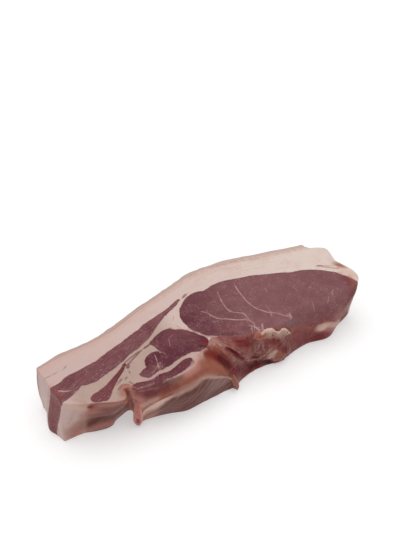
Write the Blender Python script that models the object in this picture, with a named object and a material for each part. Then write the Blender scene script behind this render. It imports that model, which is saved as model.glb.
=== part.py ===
"""A raw pork rib steak: one thick slice across the loin and the top of the belly.

The slice lies flat on its cut face. +X runs along it towards the loin eye, +Y towards the rind and
+Z up through the thickness. The origin is the centre of the underside. Five tissues run through the
slice and show on both cut faces: the fat with its rind, the loin eye, the belly strip, the thin
flank strip below it and the rib meat behind the rib wall.

Every outline below is drawn on the upper cut face, in millimetres. sink() carries a point of that
face down through the slice, so the walls and the tissues inside them lean the same way.
"""

import bmesh
import bpy
import numpy as np

MM = 0.001

THICKNESS = 32.0
TISSUE_GAP = 0.3
CENTRE_SHIFT = np.array([0.1, 0.8])

# The front side, from the belly's end to the tip of the loin eye. Each station has the x and y of
# the upper edge, how far its foot moves in x and y, and how far the wall swells at mid height.
FRONT = np.array(
    [
        (-97.2, -16.3, -1.0, 0.4, 0.0),
        (-87.0, -23.4, 0.0, 6.8, 0.6),
        (-79.8, -26.8, 0.0, 7.6, 0.6),
        (-71.5, -31.2, 0.0, 10.4, 0.4),
        (-66.3, -31.0, 1.0, 12.6, 0.0),
        (-62.9, -25.8, 5.4, 9.8, 0.0),
        (-59.6, -29.8, 0.2, 2.5, 0.4),
        (-55.4, -31.8, 0.2, 5.2, 2.2),
        (-48.0, -32.9, 0.0, 5.4, 4.0),
        (-40.0, -32.6, 0.0, 2.8, 4.2),
        (-30.7, -32.7, 0.0, -0.7, 3.6),
        (-23.7, -31.3, 0.0, -2.2, 3.4),
        (-17.2, -27.4, 0.0, -6.0, 3.0),
        (-10.0, -23.2, 0.0, -10.2, 2.2),
        (-3.4, -19.2, 0.0, -14.2, 1.6),
        (2.4, -23.3, 0.0, -10.6, 1.0),
        (9.7, -27.3, 0.0, -3.7, 0.8),
        (17.0, -29.0, 0.0, -0.5, 0.8),
        (28.0, -31.4, 0.0, 1.6, 0.8),
        (36.8, -32.8, 0.0, 1.0, 0.8),
        (44.2, -30.9, 0.0, 0.2, 0.8),
        (51.2, -29.6, 0.0, 0.2, 1.0),
        (60.0, -32.0, 0.0, 3.0, 1.4),
        (74.9, -35.3, 0.0, 3.6, 0.8),
        (85.0, -33.8, 0.0, 7.0, 0.4),
        (94.0, -30.2, -1.0, 6.0, 0.0),
        (100.2, -24.7, -1.0, 3.0, 0.0),
    ]
)

# The rind side, left to right, up to where the rind stops.
BACK = np.array(
    [
        (-98.2, 15.3),
        (-82.0, 17.3),
        (-64.0, 17.7),
        (-54.0, 19.3),
        (-32.0, 25.7),
        (-8.0, 31.3),
        (16.0, 36.0),
        (34.0, 35.3),
        (56.0, 29.7),
        (82.0, 22.3),
        (91.6, 20.0),
    ]
)

# Past the rind the fat is trimmed lower, then the loin's end runs down to the tip of the eye.
TRIMMED_FAT = np.array([(92.9, 15.2), (97.4, 12.8), (101.3, 9.4)])
LOIN_END = np.array([(101.0, 4.2), (99.2, -2.6), (100.0, -7.4), (102.2, -15.6), (101.9, -21.2)])

# How far the steak's tissues lean: the whole way at the front wall, not at all LEAN_REACH behind it.
# Past NOTCH_REACH they follow the wall's run over this span and not its notch.
LEAN_REACH = 26.0
NOTCH_REACH = 7.0
LEAN_SPAN = (-12.0, -6.0, 0.0, 6.0, 12.0)
# The belly's cut end bellies out at the foot, by this much, around this y and over this half width.
END_SWELL, END_SWELL_Y, END_SWELL_WIDTH, END_SWELL_REACH = 4.6, -5.0, 8.0, 16.0
END_CROWN = 1.0
# An outward-leaning wall reaches its foot line this far down, as a share of the thickness.
SHOULDER_DEPTH = 0.45

# Rounding of the edges. The eye's covered end is rounded over far more than a knife-cut edge.
CUT_EDGE_RADIUS = 1.2
FOOT_EDGE_RADIUS = 1.2
EYE_EDGE_RADIUS = 9.0
EYE_EDGE_SPAN = (40.0, 62.0, 86.0, 98.0)

# Lumps and hollows of the torn front wall: x, z, half length, half height, how far it stands out.
LUMPS = (
    (-78.0, 12.5, 15.0, 4.0, -2.2),
    (-74.0, 5.0, 13.0, 3.5, 1.0),
    (3.0, 3.0, 2.6, 4.0, 3.0),
    (-32.0, 19.0, 16.0, 4.0, 0.8),
    (4.0, 18.0, 6.0, 6.0, -1.8),
    (13.0, 22.0, 5.0, 4.5, 1.6),
    (20.0, 12.0, 6.0, 5.0, -2.0),
    (29.0, 18.0, 6.0, 5.0, 1.8),
    (36.0, 8.0, 5.0, 4.0, 1.4),
    (43.0, 20.0, 5.0, 6.0, -1.6),
    (58.0, 14.0, 4.0, 8.0, -1.0),
)

# Tissue outlines on the upper cut face. Where one reaches a wall it runs on past it, so that the
# tissue shows there.
BELLY_STRIP = [
    (-108.0, -3.2),
    (-97.0, -2.9),
    (-86.7, -0.4),
    (-74.7, 0.7),
    (-62.2, 3.0),
    (-51.9, 5.6),
    (-41.4, 9.2),
    (-25.4, 14.0),
    (-13.0, 17.5),
    (-4.6, 19.6),
    (-2.2, 19.0),
    (-6.6, 15.4),
    (-19.2, 9.5),
    (-30.9, 3.4),
    (-40.0, -1.4),
    (-51.7, -5.2),
    (-60.5, -8.3),
    (-68.0, -11.0),
    (-78.6, -12.6),
    (-84.5, -11.4),
    (-91.0, -13.2),
    (-97.0, -14.3),
    (-108.0, -14.6),
]
FLANK_STRIP = [
    (-81.6, -19.8),
    (-75.5, -18.3),
    (-68.3, -15.2),
    (-57.8, -10.3),
    (-51.0, -7.4),
    (-47.6, -7.0),
    (-51.8, -9.6),
    (-56.0, -12.0),
    (-61.5, -16.6),
    (-67.7, -21.4),
    (-73.7, -24.8),
    (-78.0, -24.4),
    (-81.4, -22.4),
]
RIB_MEAT = [
    (-35.6, -2.4),
    (-32.5, -0.4),
    (-24.3, 1.1),
    (-17.0, -2.0),
    (-11.6, -7.2),
    (-9.6, -12.4),
    (-7.4, -16.6),
    (-3.6, -20.6),
    (-1.6, -30.0),
    (-1.6, -48.0),
    (-57.6, -48.0),
    (-58.2, -34.0),
    (-58.2, -29.2),
    (-56.8, -26.0),
    (-54.0, -24.4),
    (-51.8, -21.0),
    (-47.4, -16.6),
    (-43.4, -11.9),
    (-38.6, -9.8),
    (-36.4, -6.4),
]
LOIN_EYE = [
    (5.5, 19.0),
    (15.0, 17.6),
    (23.3, 17.8),
    (33.0, 16.9),
    (45.6, 13.7),
    (56.9, 8.3),
    (68.5, 3.3),
    (80.3, -1.5),
    (87.0, -6.0),
    (91.8, -12.6),
    (94.4, -20.0),
    (94.2, -30.0),
    (93.0, -48.0),
    (-8.0, -48.0),
    (-8.0, -30.0),
    (-5.8, -21.6),
    (-4.7, -16.2),
    (-6.4, -12.2),
    (-8.6, -8.0),
    (-10.6, -2.6),
    (-10.4, 4.4),
    (-7.8, 9.2),
    (-3.4, 14.2),
    (0.6, 17.4),
]

WALL_STEP = 3.2
NOTCH_STEP = 1.1
NOTCH_SPAN = (-70.0, -56.0)
TISSUE_STEP = 3.4
TISSUE_ROWS = 5
TISSUE_PAST_FACE = 2.0
SHARPEST_MITRE = 0.35
WALL_ROWS = 7
EDGE_ROWS = 3
SHARP_ANGLE = np.radians(40.0)

# Linear colours, roughness for each tissue.
TISSUES = {
    "loin_eye": (LOIN_EYE, (0.22, 0.10, 0.10), 0.38),
    "belly_strip": (BELLY_STRIP, (0.21, 0.09, 0.10), 0.40),
    "flank_strip": (FLANK_STRIP, (0.19, 0.06, 0.07), 0.40),
    "rib_meat": (RIB_MEAT, (0.14, 0.05, 0.06), 0.38),
}
FAT_COLOUR, FAT_ROUGHNESS = (0.62, 0.47, 0.42), 0.45


def ease(share):
    """A share from 0 to 1 that starts and stops gently."""
    return share * share * (3 - 2 * share)


def through_stations(table, x):
    """Values of the table's other columns at x, on a smooth curve through its stations."""
    known = table[:, 0]
    values = table[:, 1:]
    slope = np.gradient(values, known, axis=0)
    x = np.clip(x, known[0], known[-1])
    i = np.clip(np.searchsorted(known, x) - 1, 0, len(known) - 2)
    width = (known[i + 1] - known[i])[:, None]
    f = ((x - known[i])[:, None]) / width
    return (
        values[i] * (1 - ease(f))
        + values[i + 1] * ease(f)
        + width * slope[i] * f * (1 - f) ** 2
        - width * slope[i + 1] * f * f * (1 - f)
    )


def smooth_loop(points, step):
    """A closed smooth curve through the points, with a vertex about every step."""
    p = np.asarray(points, float)
    before, after, beyond = np.roll(p, 1, 0), np.roll(p, -1, 0), np.roll(p, -2, 0)
    pieces = []
    for a, b, c, d in zip(before, p, after, beyond):
        count = max(1, round(float(np.linalg.norm(c - b)) / step))
        f = (np.arange(count) / count)[:, None]
        pieces.append(
            0.5
            * (2 * b + (c - a) * f + (2 * a - 5 * b + 4 * c - d) * f**2 + (3 * b - a - 3 * c + d) * f**3)
        )
    return np.vstack(pieces)


def outward_normals(loop):
    """Unit normals of a closed loop that runs anticlockwise, pointing out of it."""
    along = np.roll(loop, -1, 0) - np.roll(loop, 1, 0)
    along /= np.linalg.norm(along, axis=1, keepdims=True)
    return np.column_stack([along[:, 1], -along[:, 0]])


def grown(loop, distance):
    """The closed anticlockwise loop with every edge moved outwards by the distance (inwards if < 0)."""
    edge = np.roll(loop, -1, 0) - loop
    edge /= np.linalg.norm(edge, axis=1, keepdims=True)
    after = np.column_stack([edge[:, 1], -edge[:, 0]])
    before = np.roll(after, 1, 0)
    mitre = 1 + np.sum(after * before, axis=1, keepdims=True)
    return loop + distance * (after + before) / np.maximum(mitre, SHARPEST_MITRE)


def anticlockwise(loop):
    """The same loop, turned round if it runs clockwise."""
    x, y = loop.T
    area = np.sum(x * np.roll(y, -1) - y * np.roll(x, -1))
    return loop if area > 0 else loop[::-1]


def sink(points, z):
    """Carries points of the upper face down to height z.

    Near the front they follow the wall: one that runs in under the steak eases in, one that spreads
    out does so over a rounded shoulder. At the belly's end they follow the swelling of its foot.
    """
    x, y = points[:, 0].copy(), points[:, 1].copy()
    wall = through_stations(FRONT, x)
    run = np.mean([through_stations(FRONT, x + away) for away in LEAN_SPAN], axis=0)
    behind = np.clip((y - wall[:, 0]) / NOTCH_REACH, 0.0, 1.0)[:, None]
    front, move_x, move_y, swell = (wall + (run - wall) * ease(behind)).T
    near = ease(1 - np.clip((y - front) / LEAN_REACH, 0.0, 1.0))
    down = np.clip(1 - z / THICKNESS, 0.0, 1.0)
    eased = ease(down)
    rounded = np.sin(np.pi / 2 * np.minimum(1.0, down / SHOULDER_DEPTH))
    share = np.where(move_y > 0, eased, rounded)
    at_end = np.clip(1 - (x - BACK[0, 0]) / END_SWELL_REACH, 0.0, 1.0)
    bump = np.exp(-(((y - END_SWELL_Y) / END_SWELL_WIDTH) ** 2))
    x += near * share * move_x
    x -= at_end * (END_SWELL * bump * eased + END_CROWN * np.sin(np.pi * down))
    y += near * (share * move_y - swell * np.sin(np.pi * down))
    return np.column_stack([x, y])


def outline():
    """The steak's outline on the upper face, anticlockwise from the belly's front corner."""
    start, end = FRONT[0, 0], FRONT[-1, 0]
    front_x = np.unique(
        np.concatenate(
            [
                np.linspace(start, NOTCH_SPAN[0], round((NOTCH_SPAN[0] - start) / WALL_STEP) + 1),
                np.arange(NOTCH_SPAN[0], NOTCH_SPAN[1], NOTCH_STEP),
                np.linspace(NOTCH_SPAN[1], end, round((end - NOTCH_SPAN[1]) / WALL_STEP) + 1),
            ]
        ).round(4)
    )
    front = np.column_stack([front_x, through_stations(FRONT, front_x)[:, 0]])
    back_x = np.linspace(BACK[-1, 0], BACK[0, 0], round((BACK[-1, 0] - BACK[0, 0]) / (1.6 * WALL_STEP)))
    back = np.column_stack([back_x, through_stations(BACK, back_x)[:, 0]])
    end_share = np.linspace(0, 1, 10)[1:-1, None]
    belly_end = BACK[0] * (1 - end_share) + front[0] * end_share
    return np.vstack([front, LOIN_END[::-1], TRIMMED_FAT[::-1], back, belly_end])


def edge_radius(loop):
    """Radius of the upper edge at each point of the outline: large where the eye's end rounds over."""
    x, y = loop.T
    rise, full, fall, gone = EYE_EDGE_SPAN
    share = np.interp(x, [rise, full, fall, gone], [0, 1, 1, 0]) * (y < 0)
    return CUT_EDGE_RADIUS + (EYE_EDGE_RADIUS - CUT_EDGE_RADIUS) * ease(share)


def wall_lumps(points, z):
    """How far the front wall stands out, at each point, for its lumps and hollows."""
    height = np.zeros(len(points))
    for x0, z0, half_length, half_height, out in LUMPS:
        far = ((points[:, 0] - x0) / half_length) ** 2 + ((z - z0) / half_height) ** 2
        height += out * np.exp(-far)
    return height * (points[:, 1] < -8.0)


def wall_rings():
    """Rings of points from the underside's edge to the upper edge, as one array for each ring."""
    loop = outline()
    normals = outward_normals(loop)
    radius = edge_radius(loop)
    foot = np.full(len(loop), FOOT_EDGE_RADIUS)
    turns = np.linspace(0, np.pi / 2, EDGE_ROWS)
    rows = [(foot * (1 - np.sin(turn)), foot * (1 - np.cos(turn))) for turn in turns]
    for share in np.linspace(0, 1, WALL_ROWS + 1)[1:-1]:
        rows.append((0 * foot, foot + (THICKNESS - radius - foot) * share))
    rows += [(radius * (1 - np.cos(turn)), THICKNESS - radius * (1 - np.sin(turn))) for turn in turns]
    rings = []
    for inset, z in rows:
        lumps = wall_lumps(loop, z) * (inset == 0)
        place = sink(loop - normals * inset[:, None], z) + normals * lumps[:, None]
        rings.append(np.column_stack([place + CENTRE_SHIFT, z]))
    return rings


def solid_from_rings(name, rings):
    """A closed solid: triangles between neighbouring rings, a flat cap on the first and the last.

    Every wall triangle has the same diagonal, so two nested solids keep their gap.
    """
    bm = bmesh.new()
    loops = [[bm.verts.new(point * MM) for point in ring] for ring in rings]
    for lower, upper in zip(loops, loops[1:]):
        for i in range(len(lower)):
            j = (i + 1) % len(lower)
            bm.faces.new((lower[i], lower[j], upper[j]))
            bm.faces.new((lower[i], upper[j], upper[i]))
    caps = [bm.faces.new(loops[0][::-1]), bm.faces.new(loops[-1])]
    bmesh.ops.triangulate(bm, faces=caps)
    mesh = bpy.data.meshes.new(name)
    bm.to_mesh(mesh)
    bm.free()
    return bpy.data.objects.new(name, mesh)


def tissue_prism(name, points, grow):
    """The space of one tissue, right through the slice and past both faces, grown by grow."""
    loop = anticlockwise(smooth_loop(points, TISSUE_STEP))
    rings = []
    for z in np.linspace(0, THICKNESS, TISSUE_ROWS):
        ring = grown(sink(loop, z), grow) + CENTRE_SHIFT
        rings.append(np.column_stack([ring, np.full(len(ring), z)]))
    rings[0][:, 2] -= TISSUE_PAST_FACE
    rings[-1][:, 2] += TISSUE_PAST_FACE
    return solid_from_rings(name, rings)


def finish(tissue, colour, roughness):
    """Gives a tissue its material and smooth shading, with the knife-cut edges kept sharp."""
    made = bpy.data.materials.new(tissue.name)
    made.use_nodes = True
    shader = made.node_tree.nodes["Principled BSDF"]
    shader.inputs["Base Color"].default_value = (*colour, 1.0)
    shader.inputs["Roughness"].default_value = roughness
    shader.inputs["Metallic"].default_value = 0.0
    tissue.data.materials.clear()
    tissue.data.materials.append(made)
    tissue.data.shade_smooth()
    tissue.data.set_sharp_from_angle(angle=SHARP_ANGLE)


def placed(thing):
    """The object, put into the scene."""
    bpy.context.scene.collection.objects.link(thing)
    return thing


def cut(target, cutter, operation):
    """Applies one exact Boolean to the target, then removes the cutter."""
    placed(cutter)
    modifier = target.modifiers.new(operation.lower(), "BOOLEAN")
    modifier.operation = operation
    modifier.solver = "EXACT"
    modifier.object = cutter
    bpy.context.view_layer.update()
    evaluated = target.evaluated_get(bpy.context.evaluated_depsgraph_get())
    mesh = bpy.data.meshes.new_from_object(evaluated)
    target.modifiers.clear()
    target.data = mesh
    bpy.data.objects.remove(cutter, do_unlink=True)


def build():
    """Makes the five tissues: each lean one is the steak within its space, and fat is the rest."""
    rings = wall_rings()
    fat = placed(solid_from_rings("fat", rings))
    for name, (points, colour, roughness) in TISSUES.items():
        lean = placed(solid_from_rings(name, rings))
        cut(lean, tissue_prism(name + "_space", points, -TISSUE_GAP / 2), "INTERSECT")
        cut(fat, tissue_prism(name + "_clear", points, TISSUE_GAP / 2), "DIFFERENCE")
        if points is LOIN_EYE:
            cut(lean, tissue_prism("rib_clear", RIB_MEAT, TISSUE_GAP / 2), "DIFFERENCE")
        finish(lean, colour, roughness)
    finish(fat, FAT_COLOUR, FAT_ROUGHNESS)


for old in list(bpy.data.objects):
    bpy.data.objects.remove(old, do_unlink=True)
build()
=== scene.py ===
"""The looks of a raw pork rib steak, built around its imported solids.

The slice lies on its cut face, +X towards the loin eye, +Y towards the rind, +Z up. Shapes are worked
out in millimetres on the upper cut face, and SliceForm.sink() carries them down through the slice, as
in the solids. The flesh is one closed skin whose tissues are told apart by distances that its vertices
carry. The rind, the rib lining, the sawn meat, the crust of fat and two hanging lobes lie on it.
"""

import logging
from dataclasses import dataclass
from enum import Enum

import bpy
import numpy as np
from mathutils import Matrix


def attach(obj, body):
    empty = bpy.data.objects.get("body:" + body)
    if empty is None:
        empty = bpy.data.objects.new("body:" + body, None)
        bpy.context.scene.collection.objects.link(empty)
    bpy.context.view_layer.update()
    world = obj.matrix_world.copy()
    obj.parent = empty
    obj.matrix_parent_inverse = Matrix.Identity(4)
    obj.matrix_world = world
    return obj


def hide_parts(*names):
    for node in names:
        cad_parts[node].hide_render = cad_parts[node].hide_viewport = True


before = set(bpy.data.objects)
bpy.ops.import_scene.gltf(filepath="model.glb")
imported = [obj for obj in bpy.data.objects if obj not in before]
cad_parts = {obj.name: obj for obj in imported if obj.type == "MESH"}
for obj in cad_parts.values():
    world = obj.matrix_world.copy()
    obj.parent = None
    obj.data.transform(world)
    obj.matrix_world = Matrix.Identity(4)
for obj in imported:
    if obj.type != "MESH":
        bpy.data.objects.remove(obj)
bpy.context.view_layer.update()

LOG = logging.getLogger("pork_rib_steak")
MM = 0.001

Array = np.ndarray
Socket = bpy.types.NodeSocket
Colour = tuple[float, float, float]
Line = tuple[float, ...]  # Its points as x, y, x, y and so on.

# The front side, left to right. Each station has the x and y of the upper edge, how far its foot
# moves in x and y, and how far the wall swells at mid height.
FRONT = np.array([
    (-97.2, -16.3, -1.0, 0.4, 0.0), (-87.0, -23.4, 0.0, 6.8, 0.6), (-79.8, -26.8, 0.0, 7.6, 0.6),
    (-71.5, -31.2, 0.2, 10.9, 0.4), (-66.3, -31.0, 0.9, 13.6, 0.0), (-62.9, -25.8, 6.2, 9.6, 0.0),
    (-59.6, -29.8, 0.9, 2.8, 0.4), (-55.4, -31.8, 0.4, 5.2, 2.2), (-48.0, -32.9, 0.0, 5.4, 4.0),
    (-40.0, -32.6, 0.0, 2.8, 4.2), (-30.7, -32.7, 0.0, -0.7, 3.6), (-23.7, -31.3, 0.0, -2.2, 3.4),
    (-17.2, -27.4, 0.0, -6.0, 3.0), (-10.0, -23.2, 0.0, -10.2, 2.2), (-3.4, -19.2, 0.0, -14.2, 1.6),
    (2.4, -23.3, 0.0, -10.6, 1.0), (9.7, -27.3, 0.0, -3.7, 0.8), (17.0, -29.0, 0.0, -0.5, 0.8),
    (28.0, -31.4, 0.0, 1.6, 0.8), (36.8, -32.8, 0.0, 1.0, 0.8), (44.2, -30.9, 0.0, 0.2, 0.8),
    (51.2, -29.6, 0.0, 0.2, 1.0), (60.0, -32.0, 0.0, 3.0, 1.4), (74.9, -35.3, 0.0, 3.6, 0.8),
    (85.0, -33.8, 0.0, 7.0, 0.4), (94.0, -30.2, -1.0, 6.0, 0.0), (100.2, -24.7, -1.0, 3.0, 0.0),
])
# The rind side, left to right, and the loin's end from the tip of the eye back to the rind.
BACK = np.reshape((
    -98.2, 15.3, -82, 17.3, -64, 17.6, -54, 18.8, -32, 25.1, -8, 30.8, 16, 36, 34, 35.3, 56, 29.7,
    82, 22.3, 91.6, 20,
), (-1, 2))
LOIN_END = np.reshape((
    101.9, -21.2, 102.2, -15.6, 100, -7.4, 99.2, -2.6, 101, 4.2, 101.3, 9.4, 97.4, 12.8, 92.9, 15.2,
), (-1, 2))


def ease(share: Array) -> Array:
    """A share from 0 to 1 that starts and stops gently: 3s squared less 2s cubed."""
    return share * share * (3 - 2 * share)


def rise(value: Array, low: float, high: float) -> Array:
    """0 below low, 1 above high, eased between (high may be the smaller one)."""
    return ease(np.clip((value - low) / (high - low), 0.0, 1.0))


def through_stations(table: Array, x: Array) -> Array:
    """Reads a table on a smooth curve: between two stations, a cubic with the table's gradients.

    Args:
        table: one row for each station, its x first.
        x: where to read it; held within the first and the last station.

    Returns:
        The other columns at each x.
    """
    known, values = table[:, 0], table[:, 1:]
    slope = np.gradient(values, known, axis=0)
    x = np.clip(x, known[0], known[-1])
    i = np.clip(np.searchsorted(known, x) - 1, 0, len(known) - 2)
    width = (known[i + 1] - known[i])[..., None]
    f = (x - known[i])[..., None] / width
    bend = width * f * (1 - f) * (slope[i] * (1 - f) - slope[i + 1] * f)
    return values[i] * (1 - ease(f)) + values[i + 1] * ease(f) + bend


def smooth_path(points: Line | Array, step: float, closed: bool = False) -> Array:
    """A smooth curve through points: Catmull-Rom, four neighbours to a stretch.

    Args:
        points: the points that it passes through.
        step: about how far apart its own points are.
        closed: whether it runs round to its start, which it doesn't repeat.

    Returns:
        Its points, N by 2.
    """
    p = np.reshape(points, (-1, 2)).astype(float)
    if closed:
        around = np.roll(p, 1, 0), p, np.roll(p, -1, 0), np.roll(p, -2, 0)
    else:
        wide = np.vstack([2 * p[0] - p[1], p, 2 * p[-1] - p[-2]])
        around = wide[:-3], wide[1:-2], wide[2:-1], wide[3:]
    stretches = []
    for a, b, c, d in zip(*around):
        count = max(1, round(float(np.linalg.norm(c - b)) / step))
        f = (np.arange(count) / count)[:, None]
        curve = 2 * b + (c - a) * f + (2 * a - 5 * b + 4 * c - d) * f**2 + (3 * b - a - 3 * c + d) * f**3
        stretches.append(curve / 2)
    return np.vstack(stretches if closed else [*stretches, p[-1:]])


def lengths(path: Array) -> Array:
    """The length along a path at each of its points."""
    return np.concatenate([[0.0], np.cumsum(np.linalg.norm(np.diff(path, axis=0), axis=1))])


def evenly(path: Array, along: Array, count: int) -> Array:
    """count points of a path at even steps of along, a number that grows along it; both ends too."""
    share = np.linspace(0, along[-1], count)
    return np.column_stack([np.interp(share, along, side) for side in path.T])


def right_of(run: Array) -> Array:
    """Unit vectors at a right angle to directions, on their right, N by 2."""
    return np.column_stack([run[:, 1], -run[:, 0]]) / np.linalg.norm(run, axis=1, keepdims=True)


def depth_inside(outline: Line, points: Array) -> Array:
    """How deep points lie inside a closed outline.

    The distance to the nearest stretch of the smooth outline, with a plus sign where a line drawn
    from the point to the right crosses the outline an odd number of times.

    Args:
        outline: the outline's corners.
        points: where to measure, N by 2.

    Returns:
        N depths, negative outside.
    """
    loop = smooth_path(outline, 1.2, closed=True)
    near = np.full(len(points), np.inf)
    inside = np.zeros(len(points), bool)
    x, y = points.T
    for start, end in zip(loop, np.roll(loop, -1, 0)):
        run = end - start
        share = np.clip(((x - start[0]) * run[0] + (y - start[1]) * run[1]) / (run @ run), 0, 1)
        near = np.minimum(near, (x - start[0] - share * run[0]) ** 2 + (y - start[1] - share * run[1]) ** 2)
        crosses = (start[1] > y) != (end[1] > y)
        if run[1]:
            inside ^= crosses & (x < start[0] + run[0] * (y - start[1]) / run[1])
    return np.where(inside, 1.0, -1.0) * np.sqrt(near)


def beside_line(line: Line, points: Array) -> tuple[Array, Array]:
    """Where points lie beside an open line.

    Args:
        line: the line's points.
        points: where to measure, N by 2.

    Returns:
        The distance with a sign for the side, which is smooth across the line, and without one.
    """
    path = smooth_path(line, 0.8)
    near = np.full(len(points), np.inf)
    side = np.ones(len(points))
    for start, run in zip(path, np.diff(path, axis=0)):
        away = points - start
        share = np.clip(away @ run / (run @ run), 0, 1)
        far = np.sum((away - share[:, None] * run) ** 2, axis=1)
        turned = run[0] * away[:, 1] - run[1] * away[:, 0]
        side = np.where(far < near, np.where(turned < 0, -1.0, 1.0), side)
        near = np.minimum(near, far)
    return side * np.sqrt(near), np.sqrt(near)


LATTICE = 97


def lattice_noise(a: Array, b: Array, size: float, seed: int) -> Array:
    """Smooth noise from -1 to 1: seeded values on a square lattice, eased between its corners."""
    lattice = np.random.default_rng(seed).uniform(-1, 1, (LATTICE, LATTICE))
    u, v = a / size + 0.37, b / size + 0.71
    i, j = np.floor(u).astype(int), np.floor(v).astype(int)
    f, g = ease(u - i), ease(v - j)
    i, j, after_i, after_j = i % LATTICE, j % LATTICE, (i + 1) % LATTICE, (j + 1) % LATTICE
    low = lattice[i, j] * (1 - f) + lattice[after_i, j] * f
    high = lattice[i, after_j] * (1 - f) + lattice[after_i, after_j] * f
    return low * (1 - g) + high * g


def rough_noise(a: Array, b: Array, size: float, seed: int, layers: int = 3) -> Array:
    """Layers of lattice noise, each half the size and half the height of the one before."""
    return sum(lattice_noise(a, b, size / 2**layer, seed + layer) / 2**layer for layer in range(layers))


class StainAndPaintedLight(Enum):
    """What discolours the surface, lowest first: its colour as seen under the key light. The darkest one is
    shade painted into hollows, pockets and grooves, and the pale one also paints a highlight along one lit
    edge.
    """

    LINING = (117, 75, 68)
    TAN = (158, 98, 80)
    ROSE = (190, 126, 115)
    PALE = (216, 178, 162)
    BLOOD = (120, 46, 48)
    # Painted shade: the dark of hollows, pockets and grooves, laid on as a colour.
    DARK = (68, 26, 28)


@dataclass(frozen=True)
class Oval:
    """A soft oval mark: centre, half sizes (mm), strength or height (mm), turn (degrees), softness."""

    a: float
    b: float
    half_a: float
    half_b: float
    strength: float
    turn: float = 0.0
    soft: float = 0.9

    def far(self, a: Array, b: Array) -> Array:
        """Distance from its centre in half sizes."""
        turn = np.radians(self.turn)
        u = (a - self.a) * np.cos(turn) + (b - self.b) * np.sin(turn)
        v = (b - self.b) * np.cos(turn) - (a - self.a) * np.sin(turn)
        return np.sqrt((u / self.half_a) ** 2 + (v / self.half_b) ** 2)


@dataclass(frozen=True)
class Band:
    """A soft mark along a line: half width (mm), strength, how far it stands out (mm), softness."""

    line: Line
    half: float
    strength: float
    out: float = 0.0
    soft: float = 0.9

    def far(self, a: Array, b: Array) -> Array:
        """Distance from its line in half widths."""
        return beside_line(self.line, np.column_stack([a, b]))[1] / self.half

    def height(self, a: Array, b: Array) -> Array:
        """How far it stands out: all of it within a quarter of its width, eased to nothing outside."""
        line = np.reshape(self.line, (-1, 2))
        low, high = line.min(axis=0) - 3 * self.half, line.max(axis=0) + 3 * self.half
        close = (a > low[0]) & (a < high[0]) & (b > low[1]) & (b < high[1])
        near = np.full(a.shape, 9.0)
        near[close] = self.far(a[close], b[close])
        return self.out * rise(near, 1.3, 0.25)


Marks = dict[StainAndPaintedLight, tuple[Oval | Band, ...]]


def marks(table: dict[StainAndPaintedLight, tuple[tuple, ...]]) -> Marks:
    """Rows that start with a line as bands, the others as ovals."""
    return {mark_kind: tuple((Band if isinstance(row[0], tuple) else Oval)(*row) for row in rows)
            for mark_kind, rows in table.items()}


def stains_and_painted_light_at(a: Array, b: Array, *tables: Marks) -> Array:
    """The strength of every kind of mark, painted shade and highlight too, 1 less the product of what each
    mark lets through.

    A mark's strength holds within its softness short of its rim, and eases to nothing past it.

    Args:
        a: the first coordinate of each point on the marks' face.
        b: the second one.
        tables: the marks.

    Returns:
        A channel for each kind of mark in their order, each shaped as a.
    """
    clear = np.ones((len(StainAndPaintedLight), a.size))
    for channel, mark_kind in enumerate(StainAndPaintedLight):
        for mark in (mark for table in tables for mark in table.get(mark_kind, ())):
            far = mark.far(a.ravel(), b.ravel())
            clear[channel] *= 1 - mark.strength * rise(far, 1 + mark.soft, 1 - mark.soft)
    return 1 - clear.reshape(-1, *a.shape)


def threads(*rows: tuple[Line, float, float]) -> tuple[Band, ...]:
    """Thin lines, each given by its points, half width and strength."""
    return tuple(Band(*row) for row in rows)


# Outlines of the lean on the cut face: corners as x, y. Those that run past its edge are cut there.
BELLY_STRIP = (
    -108, -2.9, -97.5, -2.8, -92, -2.2, -88, -0.6, -85, 0.1, -80, 0.2, -70, 1.2, -67.2, 1.1, -65, 2.3, -60,
    3.5, -50, 6, -40, 9.3, -35, 10.4, -32, 12, -28, 12.8, -20, 14.3, -12, 16.3, -6, 18.6, -3, 19.5, -1.8,
    18.6, -4.6, 16.6, -9, 14.2, -18, 10.5, -28, 4.5, -33, 1.2, -41, -2.2, -45, -3.7, -50, -4.7, -53, -6.1,
    -63, -9.5, -72, -11.6, -75, -12.2, -81, -11.6, -83, -10.7, -85, -11.9, -88, -13.4, -94, -15.6, -97.4,
    -16.3, -108, -16.6,
)
FLANK_STRIP = (
    -83, -23.6, -82.6, -21.2, -80.5, -19.5, -76, -18.7, -70, -16.7, -65, -14.1, -60, -11.6, -57, -9.4,
    -54.8, -8.4, -54.4, -9.9, -57.3, -12.3, -58.6, -13.8, -61, -15.2, -65, -18.4, -69, -21.5, -74, -26.6,
    -75.6, -27.6, -78, -26.7, -81, -25.6,
)
RIB_UPPER = (
    -36, -3.3, -34, -1.7, -31, -0.3, -25, 1.4, -22, 1.3, -20.2, 0.6, -18, -1.6, -15, -3.1, -13, -4.9, -9.8,
    -9.2, -8.8, -11.6, -7.2, -14, -6.2, -16.5, -6.4, -19.2, -8.4, -21.8, -12, -23.6, -16.5, -23.7, -19,
    -22.2, -22, -21.8, -30, -22.7, -33, -23.6, -36, -24.2, -40, -23.8, -40.5, -20, -39.6, -16, -37, -13.4,
    -34.2, -13.2, -34.4, -10.2, -35, -6.4,
)
RIB_LOBE = (
    -34.6, -13.4, -35, -11.4, -37, -10.3, -40, -10.4, -43, -11.5, -45, -13.5, -46.3, -16, -46.6, -18, -48.5,
    -18.4, -52.3, -20.5, -52.6, -22, -51.2, -23.8, -50.2, -25.2, -48.4, -25.7, -45, -25.1, -42, -24.3, -38,
    -24.4, -36, -20, -34.4, -16.5,
)
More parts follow.
